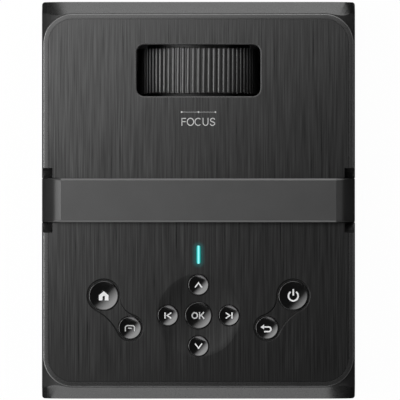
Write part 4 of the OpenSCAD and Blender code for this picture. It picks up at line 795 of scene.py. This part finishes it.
for letter, (x, paths) in LETTERS.items():
    for path in paths:
        path = path * [1, LETTER_H + LETTER_STROKE / 2] + [x, WORD_Y]
        word.append(stroke(path, LETTER_STROKE, on_panel, letter == "O"))
SCALE_Y, SCALE_X, SCALE_W, DOT_R = 44.4, 8.5, 0.14, 0.42
word.append(stroke(dense([(-SCALE_X, SCALE_Y), (SCALE_X, SCALE_Y)]), SCALE_W, on_panel))
DOT = np.array([[0, 2 * PRINT_T], [DOT_R, 1.5 * PRINT_T], [DOT_R, -PRINT_T], [0, -PRINT_T]]) + [0, PANEL_Z]
word += [(turned(DOT, x, SCALE_Y, 20), False, True) for x in (-SCALE_X, 0, SCALE_X)]
place(mesh_object("focus_word_print", word, DECK_PRINT), "chassis", "brushed_panel")


# Outlines round the pairs of side keys, darkened with painted shade, and the window's edge, lightened with a painted
# highlight

HOLE_GAP, GROOVE_MARGIN, GROOVE_W, GROOVE_DEPTH = 0.35, 0.95, 0.7, 0.35
OUTER_FILLET, INNER_FILLET = 9.0, 24.0
WINDOW_W, WINDOW_GAP, WINDOW_R = 63.2, 2.05, 4.4


def fillet_centre(a, b, r, side):
    """Centre of the circle of radius r that touches circles a and b from outside, on one side of their line."""
    d = b[:2] - a[:2]
    length = np.hypot(*d)
    along = (length ** 2 + (a[2] + r) ** 2 - (b[2] + r) ** 2) / (2 * length)
    out = np.sqrt((a[2] + r) ** 2 - along ** 2)
    return a[:2] + d / length * along + side * np.array([-d[1], d[0]]) / length * out


def bearing(start, end):
    """Angle of the line from one point to another, in degrees."""
    return math.degrees(math.atan2(end[1] - start[1], end[0] - start[0]))


def waisted_outline(large, small):
    """Closed path round two circles, (x, y, radius) each, joined by a fillet on either side: the large circle's
    far arc, one fillet, the small circle's far arc and the other fillet."""
    a, b = np.array(large), np.array(small)
    right, left = fillet_centre(a, b, OUTER_FILLET, -1), fillet_centre(a, b, INNER_FILLET, 1)

    def turn(centre, radius, start, end, way):
        """Arc from one point to another, counter-clockwise where way is positive."""
        first, last = bearing(centre, start), bearing(centre, end)
        sweep = (last - first) % 360 if way > 0 else -((first - last) % 360)
        return arc(*centre, radius, radius, first, first + sweep, 48)[:-1]

    def touch(circle, centre, r):
        """Point where a circle meets a fillet."""
        return circle[:2] + (centre - circle[:2]) * circle[2] / (circle[2] + r)

    a_left, a_right = touch(a, left, INNER_FILLET), touch(a, right, OUTER_FILLET)
    b_left, b_right = touch(b, left, INNER_FILLET), touch(b, right, OUTER_FILLET)
    return np.concatenate([
        turn(a[:2], a[2], a_left, a_right, 1), turn(right, OUTER_FILLET, a_right, b_right, -1),
        turn(b[:2], b[2], b_right, b_left, 1), turn(left, INNER_FILLET, b_left, a_left, -1)])


def groove_floor(px, py):
    """Height of the engraved line's floor at px, py."""
    return PANEL_Z - GROOVE_DEPTH + 0 * px


def grown(key):
    """Key's place with the radius of the middle of the engraved line round it."""
    x, y, cap_r = KEY_SIZE[key][:3]
    return x, y, cap_r + HOLE_GAP + GROOVE_MARGIN - GROOVE_W / 2


right_pair = waisted_outline(grown("power"), grown("back"))
# the groove's floor rises outward, so that the wall away from the lamp is black and the one towards it is not
SLANT = np.array([[GROOVE_W / 2, 0], [-GROOVE_W / 2, GROOVE_DEPTH - PRINT_T], [-GROOVE_W / 2, -PRINT_T],
                  [GROOVE_W / 2, -PRINT_T]])
# the outline strips are dark with painted shade
for name, line in (("right_key_outline", right_pair), ("left_key_outline", (right_pair * [-1, 1])[::-1])):
    line = swept(line, SLANT, groove_floor, True)
    place(mesh_object(name, [line], GROOVE_SHADE), "chassis", "brushed_panel")


def rounded_outline(x, y, w, d, r):
    """Closed path round a rectangle with round corners, counter-clockwise."""
    corners = [(x + w / 2 - r, y + d / 2 - r, 0), (x - w / 2 + r, y + d / 2 - r, 90),
               (x - w / 2 + r, y - d / 2 + r, 180), (x + w / 2 - r, y - d / 2 + r, 270)]
    return np.concatenate([arc(cx, cy, r, r, a, a + 90, 14) for cx, cy, a in corners])


ring_low, ring_high = (np.array(c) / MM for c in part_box("focus_ring"))
window = rounded_outline(0, (ring_low[1] + ring_high[1]) / 2, WINDOW_W,
                         ring_high[1] - ring_low[1] + 2 * WINDOW_GAP, WINDOW_R)
# the edge lies on the sheet and falls in a round into the window
EDGE_FALL = np.array([[-0.3, 0.006], [0.0, 0.008], [0.14, -0.01], [0.27, -0.06], [0.36, -0.16], [0.42, -0.32],
                      [0.42, -0.8], [-0.3, -0.1]])[::-1]
# the window's edge carries a painted highlight
place(mesh_object("window_edge_fall", [swept(window, EDGE_FALL, on_panel, True)], WINDOW_EDGE_HIGHLIGHT, 60),
      "chassis", "brushed_panel")
# painted shade: a dark liner down the inside of the window
LINER_IN, LINER_T, LINER_DEPTH = 0.1, 0.25, 9.0
liner = np.array([[LINER_IN, -2 * LINER_T], [LINER_IN + LINER_T, -2 * LINER_T], [LINER_IN + LINER_T, -LINER_DEPTH],
                  [LINER_IN, -LINER_DEPTH]])
place(mesh_object("window_shade_liner", [swept(window, liner, on_panel, True)], SHADE_LINING), "chassis", "case_plastic")

# thin seal over the joint between the dish and the sheet
DISH_LOW, DISH_HIGH = (np.array(c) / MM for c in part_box("dpad_dish"))
DISH_R, SEAL_RISE, SEAL_SINK = (DISH_HIGH[0] - DISH_LOW[0]) / 2, 0.004, -0.05
SEAL_IN, SEAL_OUT = -0.3, 0.4
SEAL = np.array([[SEAL_IN, SEAL_SINK], [SEAL_IN, SEAL_RISE], [SEAL_OUT, SEAL_RISE], [SEAL_OUT, SEAL_SINK],
                 [SEAL_IN, SEAL_SINK]]) + [DISH_R, PANEL_Z]
seal = turned(SEAL, 0, (DISH_LOW[1] + DISH_HIGH[1]) / 2, 128)
place(mesh_object("dish_edge_seal", [(seal, False, True)], BRUSHED_DISH), "chassis", "brushed_panel")


# Grip of the focus ring

RIBS, RIB_MIDDLE, RIB_SHARE, RIB_H, VALLEY_DROP, GRIP_UNDER = 70, 0.45, 0.86, 1.05, 0.87, 0.3
GRIP_EDGE = 0.5


def grip_grid():
    """Grip sleeve: round the lens axis, each rib is half an ellipse over RIB_SHARE of its pitch with a valley
    between; along the axis the ribs keep their height and fall to the valley in a round at both ends. The inner
    side lies in the ring."""
    r = (ring_high[0] - ring_low[0]) / 2
    axis_z, y0, y1 = ring_high[2] - r, ring_low[1], ring_high[1]
    across = np.concatenate([np.sin(np.linspace(-np.pi / 2, np.pi / 2, 13)) * RIB_SHARE / 2, [0.5]])
    arch = np.append(np.sqrt(np.maximum(1 - (across[:-1] / (RIB_SHARE / 2)) ** 2, 0)), 0)
    turn = ((np.arange(RIBS)[:, None] + RIB_MIDDLE + across) * 2 * np.pi / RIBS).reshape(-1, 1)
    arch = np.tile(arch, RIBS)[:, None]
    end = np.linspace(0, np.pi / 2, 6)
    along = np.concatenate([y0 + GRIP_EDGE * (1 - np.cos(end)), y1 - GRIP_EDGE * (1 - np.cos(end[::-1]))])
    lift = np.concatenate([np.sin(end), np.sin(end[::-1])])
    valley = r - VALLEY_DROP
    radius = np.hstack([valley + RIB_H * arch * lift, np.full((len(turn), 2), valley - GRIP_UNDER)])
    along = np.append(along, [y1, y0])
    return np.stack([radius * np.cos(turn), along + 0 * radius, axis_z + radius * np.sin(turn)], -1) * MM


place(mesh_object("focus_ring_grip", [(grip_grid(), True, True)], RING_ABS, 50), "focus_control", "ring_plastic")


# Stage: pale floor that keeps a soft shadow, and a white surround

FLOOR_REACH, SEEN_WHITE = 12.0, 0.98
corners = [(-1, -1), (1, -1), (1, 1), (-1, 1)]
floor_mesh = bpy.data.meshes.new("studio_floor")
floor_mesh.from_pydata([(x * FLOOR_REACH, y * FLOOR_REACH, 0) for x, y in corners], [], [(0, 1, 2, 3)])
floor = bpy.data.objects.new("studio_floor", floor_mesh)
bpy.context.scene.collection.objects.link(floor)
floor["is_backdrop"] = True
# white to the camera and through glass, and a dark table in the gloss of the case
paper = bpy.data.materials.new("white_paper")
paper.use_nodes = True
tree = paper.node_tree
tree.nodes.clear()
path = put(tree, "ShaderNodeLightPath")
tone = put(tree, "ShaderNodeMix", {"data_type": "RGBA"},
           {"Factor": (path, "Is Glossy Ray"), "A": linear("#f4f4f4"), "B": linear("#202020")})
matt = put(tree, "ShaderNodeBsdfDiffuse", None, {"Color": (tone, "Result")})
white = put(tree, "ShaderNodeEmission", None, {"Color": (1, 1, 1, 1), "Strength": 1.0})
shown = put(tree, "ShaderNodeMath", {"operation": "MAXIMUM"},
            {0: (path, "Is Camera Ray"), 1: (path, "Is Transmission Ray")})
seen = put(tree, "ShaderNodeMath", {"operation": "MULTIPLY"}, {0: (shown, "Value"), 1: SEEN_WHITE})
mixed = put(tree, "ShaderNodeMixShader", None, {"Fac": (seen, "Value"), 1: (matt, "BSDF"), 2: (white, "Emission")})
put(tree, "ShaderNodeOutputMaterial", None, {"Surface": (mixed, "Shader")})
floor_mesh.materials.append(paper)

FILL = 0.04
world = bpy.data.worlds.new("studio")
bpy.context.scene.world = world
world.use_nodes = True
tree = world.node_tree
tree.nodes.clear()
path = put(tree, "ShaderNodeLightPath")
fill = put(tree, "ShaderNodeBackground", None, {"Color": (1, 1, 1, 1), "Strength": FILL})
white = put(tree, "ShaderNodeBackground", None, {"Color": (1, 1, 1, 1), "Strength": 1.0})
shown = put(tree, "ShaderNodeMath", {"operation": "MAXIMUM"},
            {0: (path, "Is Camera Ray"), 1: (path, "Is Transmission Ray")})
mixed = put(tree, "ShaderNodeMixShader", None,
            {"Fac": (shown, "Value"), 1: (fill, "Background"), 2: (white, "Background")})
put(tree, "ShaderNodeOutputWorld", None, {"Surface": (mixed, "Shader")})

# Softboxes round the deck: the side that each stands on, its upper and lower edge in degrees from overhead, half
# its width in degrees, its distance in millimetres, its radiance at the upper edge and that of the rest, which it
# reaches at FADE of its height
DECK, FADE = np.array([0, 0, 83.0]), 0.42
SOFTBOXES = [
    ("key_softbox", (-0.721, 0.693), 2.5, 38, 40, 530, 0.2, 2.82),
    ("left_softbox", (-1.0, 0.1), 40, 55, 24, 900, 6.44, 6.44),
    ("right_softbox", (1.0, 0.1), 44, 62, 20, 900, 0.9, 0.9),
    ("rear_softbox", (-0.375, -0.927), 29, 40, 22, 1000, 1.85, 1.85),
    ("side_softbox", (0.55, 0.83), 32, 42, 18, 1000, 1.21, 1.21),
    ("front_wall", (0.14, 1.0), 62, 95, 30, 700, 1.17, 1.17),
    ("rear_wall", (-0.35, -1.0), 64, 94, 33, 900, 1.0, 1.0),
]
for name, side, upper, lower, width, distance, radiance_up, radiance in SOFTBOXES:
    middle, half = math.radians(upper + lower) / 2, math.radians(lower - upper) / 2
    out = np.array(side) / np.hypot(*side)
    away = np.array([*(out * math.sin(middle)), math.cos(middle)])
    across = np.array([-out[1], out[0], 0])
    lamp = bpy.data.lights.new(name, "AREA")
    lamp.shape = "RECTANGLE"
    lamp.size = 2 * distance * math.tan(math.radians(width)) * MM
    lamp.size_y = 2 * distance * math.tan(half) * MM
    lamp.energy = radiance * math.pi * lamp.size * lamp.size_y
    lamp.use_nodes = True
    tree = lamp.node_tree
    glow = next(node for node in tree.nodes if node.type == "EMISSION")
    place_on = put(tree, "ShaderNodeNewGeometry")
    parts = put(tree, "ShaderNodeSeparateXYZ", None, {"Vector": (place_on, "Parametric")})
    fade = put(tree, "ShaderNodeMapRange", {"interpolation_type": "LINEAR"}, {
        "Value": (parts, "Y"), "From Min": 1.0, "From Max": 1.0 - FADE,
        "To Min": radiance_up / radiance, "To Max": 1.0})
    tree.links.new(fade.outputs["Result"], glow.inputs["Strength"])
    box = bpy.data.objects.new(name, lamp)
    bpy.context.scene.collection.objects.link(box)
    box.visible_camera = False
    spot = (DECK + away * distance) * MM
    box.matrix_world = Matrix(np.column_stack([across, np.cross(away, across), away, spot]).tolist()).to_4x4()

# Camera straight above, +Y up in the picture: FRAME_MM fill the frame at the case's shoulder
CAMERA, PLANE_Z, FRAME_MM, SENSOR = (0.76, 0.15, 4000.0), 76.5, 201.65, 36.0
camera_data = bpy.data.cameras.new("camera")
camera_data.sensor_width = SENSOR
camera_data.lens = SENSOR * (CAMERA[2] - PLANE_Z) / FRAME_MM
camera = bpy.data.objects.new("camera", camera_data)
bpy.context.scene.collection.objects.link(camera)
camera.location = tuple(c * MM for c in CAMERA)
bpy.context.scene.camera = camera

bpy.context.scene.view_settings.view_transform = "Standard"

low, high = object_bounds()
